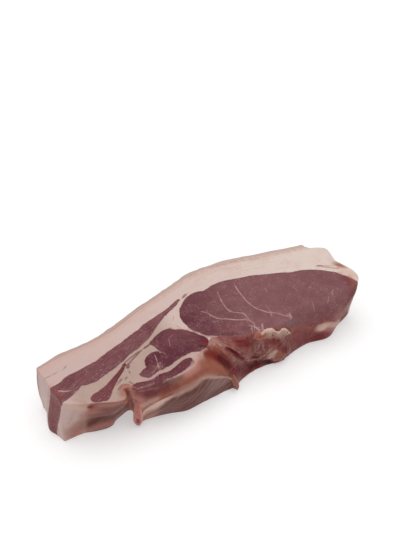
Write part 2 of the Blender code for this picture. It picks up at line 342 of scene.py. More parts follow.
RIB_LOWER = (
    -61.5, -28, -58.3, -25.4, -55.1, -25.5, -51.3, -26.8, -48.1, -27.4, -45, -26.4, -41.2, -26.6, -38.2,
    -27.4, -35.2, -26.9, -27.2, -24.5, -24.2, -24.3, -22, -25.4, -21.9, -28, -23.2, -30, -27.7, -31.1, -35,
    -31.9, -39.5, -32.4, -42.6, -34, -44, -46, -62, -46,
)
LOIN_EYE = (
    -1, 16.2, 2, 18, 6, 19.2, 11, 19, 13.5, 17.9, 16, 18, 20, 18.8, 27, 18.7, 32, 17.6, 41, 14.6, 46, 13.2,
    55, 9.3, 64, 5.2, 67, 3, 70, 1.8, 75, 0.3, 84, -4.5, 89.5, -10, 92, -12.8, 92.6, -15.2, 94.6, -19, 97.4,
    -27, 98, -34, 98, -52, 1, -52, 0, -22, -1, -19.3, -3.5, -17.6, -4.9, -16.4, -6.5, -13.6, -9.8, -7.2,
    -10.7, 1, -10.1, 5, -8.4, 9, -5.5, 12.8,
)
# What marks the cut face (x, y), the front (x, z), its torn part, and the belly's end (y, z): real
# discolouring, shade painted into hollows and pockets, and one highlight painted along a lit edge.
# A band's row has its line, half width, strength, how far it stands out and its softness; an oval's
# row its centre, half sizes, strength, turn and softness.
TOP_MARKS = marks({
    StainAndPaintedLight.BLOOD: (
        (-8.6, -20, 3, 3, 0.65, 0, 0.5), (-10.5, -25, 4.5, 1.6, 0.6, 35),
        ((-64.6, -25.8, -62.4, -25.9, -61.2, -27.6, -60.4, -30.4), 1, 0.5),
        ((-59.6, -22.6, -58.2, -26.6), 0.7, 0.5), (-64, -28.4, 1.2, 2.2, 0.6),
        ((4, -24, 9, -27.6, 14, -29.6, 22, -30.6), 1.8, 0.4), ((92.6, -15, 93.6, -20, 92.6, -26), 2, 0.35),
        (89.6, -27.4, 2.6, 1.8, 0.4), (90.5, -20, 3.5, 5, 0.3), (-96, -12.5, 3, 2.6, 0.35),
    ),
    StainAndPaintedLight.TAN: (
        (-13, -26.5, 7, 3.2, 0.8, 30), (-65.8, -28.4, 3.6, 3.8, 0.7), (-62.6, -25.6, 3.4, 2.6, 0.8, -40),
        ((96, -20.5, 95, -24.2, 92.8, -27.8, 90.2, -30.4), 2, 0.55),
        ((86, -2, 89.6, -5.2, 93.1, -9.3, 95, -11), 0.9, 0.5), (97.8, -9, 4.4, 2, 0.9, -65),
        (-97, -8, 3, 6.5, 0.4), ((28, 33.6, 40, 30.4, 50, 27, 60, 24), 0.5, 0.4),
        ((14, 27.4, 30, 28, 46, 24.6), 0.4, 0.25),
    ),
    StainAndPaintedLight.PALE: (
        ((19.4, -22.6, 21, -24.4, 21.9, -26.6, 22, -29), 0.6, 0.5),
        ((96, -14.6, 98.2, -18, 99.2, -22), 2.4, 0.65),
    ),
    StainAndPaintedLight.LINING: (
        ((-66.8, -23.8, -65, -22.7, -63.2, -22.7, -61.4, -24.2), 0.9, 0.6),
    ),
    # Painted shade in a pocket of the cut face.
    StainAndPaintedLight.DARK: (
        (-12.4, -21.8, 2.4, 0.9, 0.8, -20, 0.5),
    ),
    StainAndPaintedLight.ROSE: (
        (10, -18.5, 9, 4.5, 0.25, -25), (-20, -29.6, 5, 2.6, 0.55, 20),
        ((-65.6, -24.8, -63.6, -24.2, -61.8, -24.8, -60.4, -26.8), 0.7, 0.7),
        ((0.5, -22, 6, -26, 12, -29, 20, -30), 1.8, 0.45), (-15, -3.5, 9, 1, 0.4, -38),
        (-3, -20.6, 3, 2.4, 0.6, -40), ((-91, -16.8, -84, -25, -76, -29.6, -68, -31.4), 1.2, 0.35),
    ),
})
FRONT_MARKS = marks({
    StainAndPaintedLight.BLOOD: (
        (-84.8, 29, 1.5, 1.3, 0.9, 0, 0.5), (-83.4, 29.4, 3, 2.6, 0.4, 30), (-74, 20, 9, 6, 0.45),
        ((-85, 8.6, -81, 11, -77.5, 15.4), 1.3, 0.3, -0.3), (-64.4, 30, 1.4, 3, 0.6),
        ((-64, 32, -62.8, 27, -62.4, 18, -62.6, 11), 1, 0.3, -0.4), (-59.6, 22.4, 1.8, 1.4, 0.4),
        ((-58, 28.4, -38, 26.4), 2.4, 0.5), ((-44, 27, -36, 26, -20, 26, -12, 22.6, -7, 18), 1.9, 0.3),
        (-11, 29, 4, 2.6, 0.45), (52, 7, 15, 7, 0.65), (70, 21, 4, 3.4, 0.35), (65, 5, 6, 4.6, 0.7),
        ((93, 30, 82, 24), 2.4, 0.45),
    ),
    StainAndPaintedLight.TAN: (
        ((-85, 26, -87, 20, -91, -1), 3.2, 0.55), ((-91.6, 27, -93, 22, -94, 16), 1.1, 0.3),
        (-93.4, 6, 3.6, 7, 0.55), ((-68, 31, -66, 28, -64.8, 24), 1.8, 0.8, 0.5),
        ((-63.4, 31, -62.6, 3), 2, 0.5), ((-57.6, 23, -54, 25, -48, 25.6), 1.6, 0.6),
        ((-20, 29.6, -11, 28), 2.6, 0.9), ((-57.6, 17.5, -53.4, 21.6, -48.4, 23.4, -44, 23.8), 2.6, 0.8),
        ((-46, 25, -38, 24.6, -28, 26, -18, 25.6, -5, 18), 2.8, 0.9),
        ((-36, 28, -24, 27.6, -14, 26), 2.4, 0.6), ((42, 21.6, 48, 21, 54, 18.4, 60, 14.6), 1.8, 0.4),
        (85, 15, 6, 12, 0.35), ((78, 26, 75.5, 22, 78.4, 13.4), 1.6, 0.4),
    ),
    StainAndPaintedLight.PALE: (
        # The first band paints a highlight along the lit upper edge of the belly's front wall.
        ((-98, 29.4, -88, 28.4), 2.6, 0.6), ((-61.6, 30, -61, 12), 1, 0.4, 0.3),
        ((-57, 19, -53.6, 22.2, -50, 23.4), 2.2, 0.5),
        ((-44, 24.8, -38, 24.4, -32.2, 24.6, -26, 24.6), 0.5, 0.35, 0.3), (66.4, 14.6, 3.6, 3.4, 1),
        ((66, 15.6, 70, 16, 75, 12.4, 86, 3), 2.1, 0.85, 0.3), ((98.4, 31, 98, 6), 2, 0.35, 0, 0.6),
    ),
    StainAndPaintedLight.LINING: (
        (-74.5, 14, 11.5, 60, 0.95, 0, 0.12), ((-84, 22, -88, 4), 3.4, 0.4),
        ((-63.4, 32, -64, 24, -63, 4), 2.6, 0.4), ((-4.4, 28, -2.9, 24.5, -2.2, 21), 2.4, 0.95, 0, 0.6),
        ((-48, 30.6, -33, 29.4), 2.6, 0.85),
    ),
    # Painted shade in a sunken crease beside the pale ridge.
    StainAndPaintedLight.DARK: (
        ((69.4, 15, 71.8, 14.8, 75, 12.2), 0.5, 0.4, -0.3),
    ),
    StainAndPaintedLight.ROSE: (
        ((-88, 29.6, -76, 29.6, -71, 30.8), 2.2, 0.6), (-83, 24, 4, 5, 0.45, 60),
        ((-90, 2.4, -84, 4, -77, 6.4, -71, 5.4, -65, 5), 3, 0.6),
        ((-63.2, 31.6, -63.2, 22, -62, 1), 2, 0.7), ((-61.6, 31.6, -60.6, 14), 1.4, 0.9),
        ((-60, 26, -59, 18, -58, 1), 2.6, 0.9), (-58.2, 27, 2.6, 4, 0.5),
        ((-58.5, 31.6, -54, 31.4, -48, 30.4), 0.5, 0.5, 0.3), ((-31, 30.4, -21, 29.8), 1.8, 0.8, 0.3),
        ((59.6, 6.6, 62, 12, 64.6, 16.6), 0.9, 0.5, 0.2), ((68, 11, 73, 9, 81, 3), 2.2, 0.6),
    ),
})
TORN_MARKS = marks({
    StainAndPaintedLight.BLOOD: (
        ((-13.2, 31, -9.8, 29.3, -5.6, 24.8), 1.4, 0.8, -0.3),
        ((-6, 27, -3.6, 25, -1.6, 17.6), 2.4, 0.6, -0.5),
        ((1.4, 28, 3.2, 26.2, 8.6, 18.8), 1.2, 0.85, -0.6), ((0.8, 16, 8, 9, 13, 5), 2.8, 1, -0.5),
        ((9, 12, 17, 4.6, 21, 3), 2.6, 0.9, -0.3), ((8.2, 29.4, 11, 29, 14, 26.8), 1.7, 0.7, -0.4),
        ((6, 31.6, 14, 30.2), 1.2, 0.5), ((25.4, 23, 25.2, 17), 0.9, 0.35, -0.2),
        ((30, 22.4, 33, 20.8, 35, 16, 38.6, 11), 2.2, 0.65, -0.4),
    ),
    StainAndPaintedLight.TAN: (
        ((-12, 29.6, -1, 27.4), 1.6, 0.6, 0.1), ((-13, 26, -9, 22.6, -3.5, 16.6), 2.4, 0.8),
        ((33.6, 13, 35.4, 5.4), 2.1, 0.7, 0.6), ((-1.6, 13.6, 0.6, 9, 2, 5), 1.3, 0.6, 0.3),
        ((38.6, 24, 42, 21.6, 46, 20.6), 1.8, 0.5, 0.2),
    ),
    StainAndPaintedLight.PALE: (
        ((-8, 31.6, -2.6, 31.4, 1.6, 30.4, 5, 28.8, 8, 26.4), 0.7, 0.1, 0.25),
        ((-8.5, 30.4, -3, 30.2, 1, 29.4, 4.2, 28.2, 7, 25.6), 0.5, 0.15, 0.3),
        ((-1.2, 30.2, 1.5, 29.4, 4.2, 28, 6.8, 24.8, 9.5, 21, 12.8, 17.6, 15.6, 14), 0.5, 0.16, 0.3),
        ((-7, 31.8, -1.4, 30.4), 1.5, 0.3), ((-0.8, 28, 0.8, 26.6, 5.6, 17), 1.6, 0.15, 0.4),
        ((0.4, 27.6, 2.2, 24.8, 3.6, 21.6, 6, 18), 0.45, 0.14, 0.25),
        ((1.6, 24, 1.2, 20.6, 2, 16), 1.4, 0.16, 0.2), ((29, 8.4, 31, 13.8), 1.9, 0.7, 0.8),
        ((31.6, 10, 32.4, 4.6), 1.2, 0.2, 0.3), ((23.4, 9, 25.6, 11, 27, 15, 28.4, 18.4), 0.8, 0.35, 0.35),
        ((36, 7.6, 38.8, 7.4, 42.4, 5.6), 1.3, 0.2, 0.4), ((21, 25.6, 20.6, 20.6), 1.2, 0.25, 0.25),
        ((23.2, 25, 23.8, 18), 0.9, 0.28, 0.3), ((18, 24, 18.8, 17), 1.1, 0.22, 0.2),
        ((27.6, 21.6, 27.2, 18), 1, 0.2, 0.3), ((30.5, 18.6, 30, 15.6), 1, 0.12, 0.2),
        ((25, 16.6, 22, 14), 1.6, 0.28, 0.2), ((12.6, 19, 18, 14.4), 0.9, 0.15, 0.2),
    ),
    StainAndPaintedLight.LINING: (
        ((-9, 27, -3, 15, 0.6, 1), 3.4, 0.9, 0, 0.7), ((-0.5, 28.4, 2.5, 25.2, 3.4, 21.2, 5.6, 15), 2, 0.7),
    ),
    # Painted shade in the sunken pockets and grooves of the torn meat.
    StainAndPaintedLight.DARK: (
        ((-4.6, 25, -2.6, 19.8), 1.7, 0.6, -0.7), ((2.6, 27, 7.8, 19.8), 0.6, 0.45, -0.2),
        ((14.4, 14.2, 17, 12.2, 20, 10.4, 22.6, 9.8), 0.5, 0.6, -0.5),
        ((11, 14, 16.4, 6.2), 1.5, 0.5, -0.6), ((4, 14.6, 12.6, 5.4, 16, 3.6), 1.8, 0.4, -0.1),
        ((19, 6.4, 26, 4.4, 30, 2.6), 2.1, 0.7, -1),
    ),
    StainAndPaintedLight.ROSE: (
        ((-9, 31, 3, 29, 10, 22), 2.6, 0.2, 0.1),
        ((12.6, 16, 15.6, 12.4, 18.4, 10, 21.4, 8.4), 0.6, 0.7, 0.4),
    ),
})
END_MARKS = marks({
    StainAndPaintedLight.BLOOD: (
        (-8, 25, 1.8, 7, 0.25, 0, 0.5), (-10, 5, 3.2, 8, 0.3, 0, 0.5),
    ),
    StainAndPaintedLight.TAN: (
        ((-8.6, 32, -9.6, 22, -9, 14), 0.8, 0.3, 0, 0.6),
    ),
    StainAndPaintedLight.PALE: (
        ((-14.6, 15, -13.4, 8, -13, 1), 1.6, 0.35, 0, 0.6),
    ),
    StainAndPaintedLight.ROSE: (
        ((12, 32, 12.6, 16, 10.6, 0), 1.2, 0.25, 0, 0.6), ((-1.6, 32, -1.4, 16, 1.5, 0), 1.4, 0.4, 0, 0.6),
    ),
})
# Thin lines of the cut face.
THREADS = threads(
    # Veins.
    ((32.2, 10.4, 31.1, 5.7, 30.6, -0.3, 30.1, -5.2, 30.6, -9.7, 31.1, -13.1, 33, -16.4, 35, -19.7, 37.7,
     -21.9, 39.9, -24.8, 41.8, -28.1, 44.3, -29.5), 0.42, 0.85),
    ((36.4, -19.8, 34.8, -23.4), 0.3, 0.5), ((36.6, -20.2, 37.6, -14), 0.26, 0.4),
    ((45, -27.2, 42, -32.4), 0.55, 0.6),
    ((19.9, 11, 18.3, 6, 16.7, -1.7, 16.8, -5.4, 18.3, -8.8, 21, -11.1, 22.6, -13, 22.4, -16.4, 22.3, -20.4,
     23, -22.7, 21.8, -25.4, 22.4, -29.3), 0.42, 0.85),
    ((20.4, -23.4, 18, -28.2), 0.4, 0.55), ((26.6, -25.6, 25.2, -27.6, 23.8, -30.6), 0.55, 0.8),
    ((3.2, 1.6, 5, -1.2, 6.1, -4.9, 8.1, -8.2, 11.5, -10.6, 14.4, -13.3, 17.9, -15.8, 20.4, -17.4, 22.1,
     -19.6), 0.5, 0.9),
    ((6.2, 1.6, 5.4, 0, 5.2, -1.4), 0.3, 0.45), ((11.6, 6.2, 10.8, 4.8, 11.2, 3.4), 0.3, 0.3),
    ((45.8, -2, 45.4, -3.8, 44.6, -5), 0.32, 0.45), ((62.6, -26.6, 61.6, -29, 61, -31), 0.4, 0.4),
    ((79.4, -25, 77.6, -26.2, 76.8, -27.6), 0.45, 0.5), ((61.4, -9.4, 60.8, -11, 61, -13), 0.4, 0.4),
    ((73.6, -28, 72.4, -29.6, 71, -30.6), 0.35, 0.4),
    ((-38.4, -13.6, -39.3, -17, -40.6, -21, -41.2, -24.3), 0.34, 0.75),
    ((-40.3, -20.5, -45.4, -23.8), 0.3, 0.5), ((-37.4, -19.8, -38.6, -21.6, -39.4, -23.6), 0.25, 0.4),
    ((-21.5, -5.2, -25, -6.3, -26, -9, -27.5, -11.5), 0.26, 0.45),
    ((-36.2, -8, -34.8, -10.4, -32.8, -15.4), 0.3, 0.6),
    ((-94.8, -8.2, -92.8, -9.7, -90, -10.9), 0.55, 0.95),
    ((-59.6, -29.2, -54, -30.6, -50, -31.4), 0.3, 0.5),
    # Silver skin.
    ((-10.9, -6, -7.5, -12.8, -4.4, -17.3, -1.4, -19.4), 0.65, 0.9),
    ((-5.4, -16.6, -3.6, -17.9, -1.2, -20), 1.1, 0.7),
    ((-52.4, -25.2, -50.4, -26.6, -48.4, -27.2, -46.4, -26.4), 1.2, 0.95),
    ((-47, -26.4, -43, -25.5, -40, -25.3, -36, -25.3, -29.5, -23.6, -26, -23, -22, -22.7, -19, -23.3, -17.2,
     -25.2), 0.95, 0.7),
    ((-43, -32.6, -33, -32.6, -30, -32, -26, -31.2, -24, -29.8, -22.2, -28.2, -20.6, -26), 0.8, 0.8),
    ((-20.4, -24.4, -17.6, -26, -16, -29, -15, -32), 1, 0.45),
    ((-74.5, -28.5, -70, -30.6, -66.5, -31), 0.7, 0.5),
)
DASHES = threads(
    ((-98.4, 4.2, -93.8, 4.8), 0.36, 0.5), ((-92, 4.8, -89.6, 5.2), 0.36, 0.42),
    ((-87.2, 5, -86.2, 5.2), 0.3, 0.25), ((-85, 5.6, -83.4, 6.6), 0.5, 0.42),
    ((0.6, 19.2, 3, 20.3), 0.8, 0.75), ((-40.4, -5.1, -35.8, -3.9), 0.7, 0.9),
    ((-56, -8.9, -51.5, -7.3, -47.5, -6.4, -44.5, -5.6), 0.36, 0.8),
    ((-53.8, -10.4, -42.6, -5.7), 0.5, 0.8), ((-14.6, 5.4, -12.8, 8.6), 0.25, 0.35),
    ((-15.6, 0.2, -14.6, -1.6), 0.3, 0.4), ((-22.8, 0.8, -19.6, 0.8), 0.5, 0.6),
    ((86.4, -2, 88.4, -3.2), 0.5, 0.8), ((88.4, -3.4, 98, -9), 0.3, 0.45),
    ((-54.4, -11.4, -55, -12.5), 1.15, 0.85), ((-56, -16, -56.2, -16.7), 0.6, 0.6),
    ((-59.4, -18.8, -60, -19.4), 0.6, 0.65), ((-62.4, -18.5, -64.2, -19.2), 0.65, 0.65),
    ((-5.6, 3.4, -6, 3), 0.6, 1), ((-66.6, -20.6, -64.8, -20), 0.4, 0.4),
)
# Lumps of the front side as ovals in x and z with a height, and the marks on it that stand out.
LUMPS = tuple(Oval(*row) for row in (
    (-78, 12.5, 15, 4, -2.2), (-74, 5, 13, 3.5, 1), (3, 3, 2.6, 4, 3), (-32, 19, 16, 4, 0.8),
    (4, 18, 6, 6, -1.8), (13, 22, 5, 4.5, 1.6), (20, 12, 6, 5, -2), (29, 18, 6, 5, 1.8), (36, 8, 5, 4, 1.4),
    (43, 20, 5, 6, -1.6), (58, 14, 4, 8, -1),
    (-84, 9, 4.5, 1.6, -0.5, 35), (-77, 13.5, 6, 1.6, -0.6, 20), (-85, 29, 1.6, 1.4, -0.7),
    (-64.5, 26, 1.6, 6, 0.7, 15), (-57.5, 9, 2, 7, 0.8), (-51, 19, 3, 3, 0.6), (10.5, 28.6, 3, 2, 0.7),
    (19.5, 27.6, 5, 2.2, 0.8), (39, 25.5, 2.2, 6.5, 0.8, 38), (38, 5, 4, 4, 0.7, -35), (47, 10, 4, 8, 0.5),
    (65.6, 20, 0.9, 5, 0.5), (66, 13.6, 3.2, 2.6, 1), (76, 11.5, 8, 1.2, 0.8, -38), (66, 6, 4, 3, -1),
    (85, 18, 5, 6, 0.4),
))
RIDGES = tuple(
    mark for table in (FRONT_MARKS, TORN_MARKS) for row in table.values() for mark in row
    if isinstance(mark, Band) and mark.out
)


@dataclass(frozen=True)
class Tissue:
    """A lean tissue: its outline, and how light it is at stations along x or y.

    Its kind is 1 where fibres are seen end on, and -1 where they run along the slice.
    """

    outline: Line
    axis: int
    stations: tuple[float, ...]
    shades: tuple[float, ...]
    redness: float
    kind: float
    flecks: float


# The belly's comes first and the eye's last, as FleshBlock expects.
TISSUES = (
    Tissue(BELLY_STRIP, 0, (-95, -60, -28, -12), (0.6, 0.56, 0.56, 0.85), 0.12, -1, 0.8),
    Tissue(FLANK_STRIP, 0, (0,), (0.42,), 0.3, -1, 0.8),
    Tissue(RIB_UPPER, 1, (-22, -16, -8), (0.08, 0.12, 0.3), 0.1, 0, 0.5),
    Tissue(RIB_LOBE, 1, (-21, -17), (0.4, 0.08), 0.1, 0, 0.7),
    Tissue(RIB_LOWER, 0, (-58, -45, -28), (0.36, 0.2, 0.08), 0.15, 0, 1.0),
    Tissue(LOIN_EYE, 0, (-8, 6, 14, 26, 45, 65), (0.2, 0.38, 0.6, 0.72, 0.84, 0.74), 0.06, 1, 0.65),
)


@dataclass(frozen=True)
class SliceForm:
    """Sizes of the slice in millimetres, and the way its tissues lean."""

    thickness: float = 32.0
    centre_shift: tuple[float, float] = (0.1, 0.8)
    rind_thickness: float = 2.4
    lean_reach: float = 26.0
    notch_reach: float = 7.0
    lean_span: tuple[float, ...] = (-12.0, -6.0, 0.0, 6.0, 12.0)
    shoulder_depth: float = 0.45
    end_swell: float = 4.6
    end_swell_y: float = -5.0
    end_swell_width: float = 8.0
    end_swell_reach: float = 16.0
    end_crown: float = 1.0
    foot_radius: float = 1.2
    cut_radius: float = 1.2
    rind_edge_radius: float = 0.25
    eye_radius: float = 9.0
    eye_span: tuple[float, float, float, float] = (40.0, 62.0, 86.0, 98.0)
    fan: tuple[float, float] = (-9.0, 34.0)
    hang_from: tuple[float, float] = (12.0, 20.0)

    def sink(self, points: Array, z: Array) -> Array:
        """Carries points of the upper face down to a height.

        Near the front they follow the wall there: eased where it runs in under the slice, over a
        rounded shoulder where it spreads. At the belly's end they follow the swelling of its foot.

        Args:
            points: places on the upper face, N by 2.
            z: the height of each.

        Returns:
            Their places at that height, N by 2.
        """
        x, y = points.T.copy()
        wall = through_stations(FRONT, x)
        run = np.mean([through_stations(FRONT, x + away) for away in self.lean_span], axis=0)
        behind = np.clip((y - wall[:, 0]) / self.notch_reach, 0.0, 1.0)[:, None]
        front, move_x, move_y, swell = (wall + (run - wall) * ease(behind)).T
        near = ease(1 - np.clip((y - front) / self.lean_reach, 0.0, 1.0))
        down = np.clip(1 - z / self.thickness, 0.0, 1.0)
        rounded = np.sin(np.pi / 2 * np.minimum(1.0, down / self.shoulder_depth))
        share = np.where(move_y > 0, ease(down), rounded)
        at_end = np.clip(1 - (x - BACK[0, 0]) / self.end_swell_reach, 0.0, 1.0)
        bump = np.exp(-(((y - self.end_swell_y) / self.end_swell_width) ** 2))
        x += near * share * move_x
        x -= at_end * (self.end_swell * bump * ease(down) + self.end_crown * np.sin(np.pi * down))
        y += near * (share * move_y - swell * np.sin(np.pi * down))
        return np.column_stack([x, y])

    def upper_radius(self, loop: Array) -> Array:
        """Radius of the upper edge: large where the eye's side rounds over, tiny along the rind."""
        x, y = loop.T
        share = np.interp(x, self.eye_span, [0, 1, 1, 0]) * (y < 0)
        from_rind = through_stations(BACK, x)[:, 0] - y
        sharp = rise(from_rind, 4.6, 3.0) * (self.cut_radius - self.rind_edge_radius)
        return self.cut_radius + (self.eye_radius - self.cut_radius) * ease(share) - sharp

    def unevenness(self, x: Array, y: Array) -> Array:
        """How far the cut face stands above its plane at x and y, but for the edges of the tissues."""
        return 0.3 * rough_noise(x, y, 16.0, 5, 4)

    def climb_length(self, radius: Array) -> Array:
        """Length of a wall's profile: the foot's quarter round, the straight, the upper round."""
        return self.thickness + (np.pi / 2 - 1) * (self.foot_radius + radius)

    def climb(self, along: Array, radius: Array) -> tuple[Array, Array, Array]:
        """Follows a wall's profile by length from the foot's underside, and on over the cut face.

        Args:
            along: the length climbed.
            radius: the upper edge's radius there.

        Returns:
            How far the profile is set in from the outline, its height, and the angle at which the
            surface faces: minus 90 degrees at the foot, 0 on the wall, 90 on the cut face.
        """
        foot = self.foot_radius
        straight = self.thickness - foot - radius
        over = along - np.pi / 2 * foot
        foot_turn = np.clip(along / foot, 0, np.pi / 2)
        upper_turn = np.clip((over - straight) / radius, 0, np.pi / 2)
        beyond = np.maximum(along - self.climb_length(radius), 0)
        inset = foot * (1 - np.sin(foot_turn)) + radius * (1 - np.cos(upper_turn)) + beyond
        height = foot * (1 - np.cos(foot_turn)) + np.clip(over, 0, straight) + radius * np.sin(upper_turn)
        return inset, height, foot_turn + upper_turn - np.pi / 2

    def tucked(self, inset: Array, x: Array, z: Array) -> Array:
        """The inset, with little of the foot's round by the notch, where it would fold over itself."""
        return inset * (1 - 0.9 * np.exp(-(((x + 61.5) / 3.5) ** 2)) * (z < self.foot_radius))

    def fibres(self, x: Array, z: Array) -> tuple[Array, Array]:
        """Millimetres along and across the fibres of the torn side at x and height z.

        They fan out from the ribs' end, and hang straight down farther right.
        """
        far = np.hypot(x - self.fan[0], self.fan[1] - z)
        turn = np.arctan2(self.fan[1] - z, x - self.fan[0])
        hang = rise(x, *self.hang_from)
        return far + (self.thickness - z - far) * hang, 18 * turn + (x - 18 * turn) * hang

    def front_bulge(self, x: Array, z: Array) -> Array:
        """How far the front wall stands out at x and height z: lumps, ridges, torn fibres and noise.

        A lump is a bell, e to the minus squared distance in half sizes. The noise is strongest where
        the meat was sawn from the backbone and faint on smooth skin.
        """
        out = sum(lump.strength * np.exp(-lump.far(x, z) ** 2) for lump in LUMPS)
        out = out + sum(ridge.height(x, z) for ridge in RIDGES)
        torn = rise(x, -12, 0) * rise(x, 50, 38) * rise(z, 12 - x, 20 - x)
        out = out + (0.14 + 0.34 * torn) * rough_noise(x, z * 0.7, 5.0, 11)
        along, across = self.fibres(x, z)
        strands = lattice_noise(across, along * 0.12, 1.9, 23)
        strands = strands + 0.5 * lattice_noise(across, along * 0.2, 0.8, 24)
        out = out + 0.3 * torn * strands + 0.12 * lattice_noise(x * 0.3, z, 1.8, 29) * (1 - torn)
        return out * rise(z, 0.2, 3.0) * rise(z, self.thickness, self.thickness - 1.2)

    def on_front(self, x: Array, along: Array, out: Array) -> Array:
        """Places on the front side, for pieces that lie on it.

        Args:
            x: where on the upper outline, a grid.
            along: the length climbed from the foot.
            out: how far off the surface.

        Returns:
            The places, with a last axis of three.
        """
        shape = x.shape
        x, along, out = x.ravel(), along.ravel(), out.ravel()
        table = np.linspace(FRONT[0, 0], FRONT[-1, 0], 1200)
        edge = np.column_stack([table, through_stations(FRONT, table)[:, 0]])
        normals = right_of(np.gradient(edge, table, axis=0))
        n = np.column_stack([np.interp(x, table, side) for side in normals.T])
        base = np.column_stack([x, through_stations(FRONT, x)[:, 0]])
        inset, z, facing = self.climb(along, self.upper_radius(base))
        level = np.cos(facing) * out + self.front_bulge(x, z) * (facing < np.pi / 2 - 1e-6)
        cut = base - n * self.tucked(inset, x, z)[:, None]
        xy = self.sink(cut, z) + n * level[:, None] + self.centre_shift
        return np.column_stack([xy, z + np.sin(facing) * out]).reshape(*shape, 3)


FORM = SliceForm()


def make_mesh(name: str, points: Array, quads: Array, flat: Array | None = None) -> bpy.types.Object:
    """Puts a smooth quad mesh into the scene.

    Args:
        name: the piece's name.
        points: its vertices in millimetres, N by 3.
        quads: vertex numbers, M by 4, anticlockwise seen from outside.
        flat: where each face's corners lie on a square map, M by 4 by 2 from 0 to 1.

    Returns:
        The new object, at the origin.
    """
    mesh = bpy.data.meshes.new(name)
    mesh.vertices.add(len(points))
    mesh.vertices.foreach_set("co", (points * MM).astype(np.float32).ravel())
    mesh.loops.add(quads.size)
    mesh.loops.foreach_set("vertex_index", quads.astype(np.int32).ravel())
    mesh.polygons.add(len(quads))
    mesh.polygons.foreach_set("loop_start", np.arange(0, quads.size, 4, dtype=np.int32))
    if flat is not None:
        mesh.uv_layers.new(name="OFBake").uv.foreach_set("vector", flat.astype(np.float32).ravel())
    mesh.update(calc_edges=True)
    mesh.shade_smooth()
    made = bpy.data.objects.new(name, mesh)
    bpy.context.scene.collection.objects.link(made)
    return made


def carry(made: bpy.types.Object, name: str, *values: Array) -> None:
    """Stores three numbers for each vertex under a name, which the piece's material reads."""
    attribute = made.data.attributes.new(name, "FLOAT_VECTOR", "POINT")
    attribute.data.foreach_set("vector", np.column_stack(values).astype(np.float32).ravel())


def dress(made: bpy.types.Object, material: bpy.types.Material) -> bpy.types.Object:
    """Gives a piece its material and its body, and reports it."""
    made.data.materials.append(material)
    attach(made, "root")
    LOG.info("%s: %d faces", made.name, len(made.data.polygons))
    return made


def grid_quads(ids: Array) -> Array:
    """The quads of a grid of vertex numbers, facing the side from which its rows run up to the left."""
    return np.stack([ids[:-1, :-1], ids[:-1, 1:], ids[1:, 1:], ids[1:, :-1]], axis=-1).reshape(-1, 4)


def coons(bottom: Array, top: Array, left: Array, right: Array) -> Array:
    """A grid stretched between four sides: the blends across and along, less that of the corners.

    Args:
        bottom: its lower side, left to right, C by 2.
        top: its upper side, left to right.
        left: its left side, upwards, R by 2.
        right: its right side, upwards.

    Returns:
        The grid, R by C by 2.
    """
    s = np.linspace(0, 1, len(bottom))[None, :, None]
    t = np.linspace(0, 1, len(left))[:, None, None]
    low, high = ((1 - s) * side[0] + s * side[-1] for side in (bottom, top))
    across = (1 - t) * bottom[None] + t * top[None]
    along = (1 - s) * left[:, None] + s * right[:, None]
    return across + along - ((1 - t) * low + t * high)


def closed_patch(name: str, outer: Array, inner: Array, carried: dict[str, tuple]) -> bpy.types.Object:
    """A thin closed piece between two grids of places that share their rim.

    Args:
        name: the piece's name.
        outer: the side that is seen, R by C by 3, anticlockwise seen from outside.
        inner: the side beneath it, of which only the inside is used.
        carried: the three numbers on each place of the grid, by the names that materials read.

    Returns:
        The piece.
    """
    rows, columns = outer.shape[:2]
    front = np.arange(rows * columns).reshape(rows, columns)
    back = front.copy()
    back[1:-1, 1:-1] = rows * columns + np.arange((rows - 2) * (columns - 2)).reshape(rows - 2, columns - 2)
    points = np.vstack([outer.reshape(-1, 3), inner[1:-1, 1:-1].reshape(-1, 3)])
    made = make_mesh(name, points, np.vstack([grid_quads(front), grid_quads(back)[:, ::-1]]))
    for key, values in carried.items():
        grids = [np.broadcast_to(value, (rows, columns)) for value in values]
        carry(made, key, *(np.concatenate([grid.ravel(), grid[1:-1, 1:-1].ravel()]) for grid in grids))
    return made


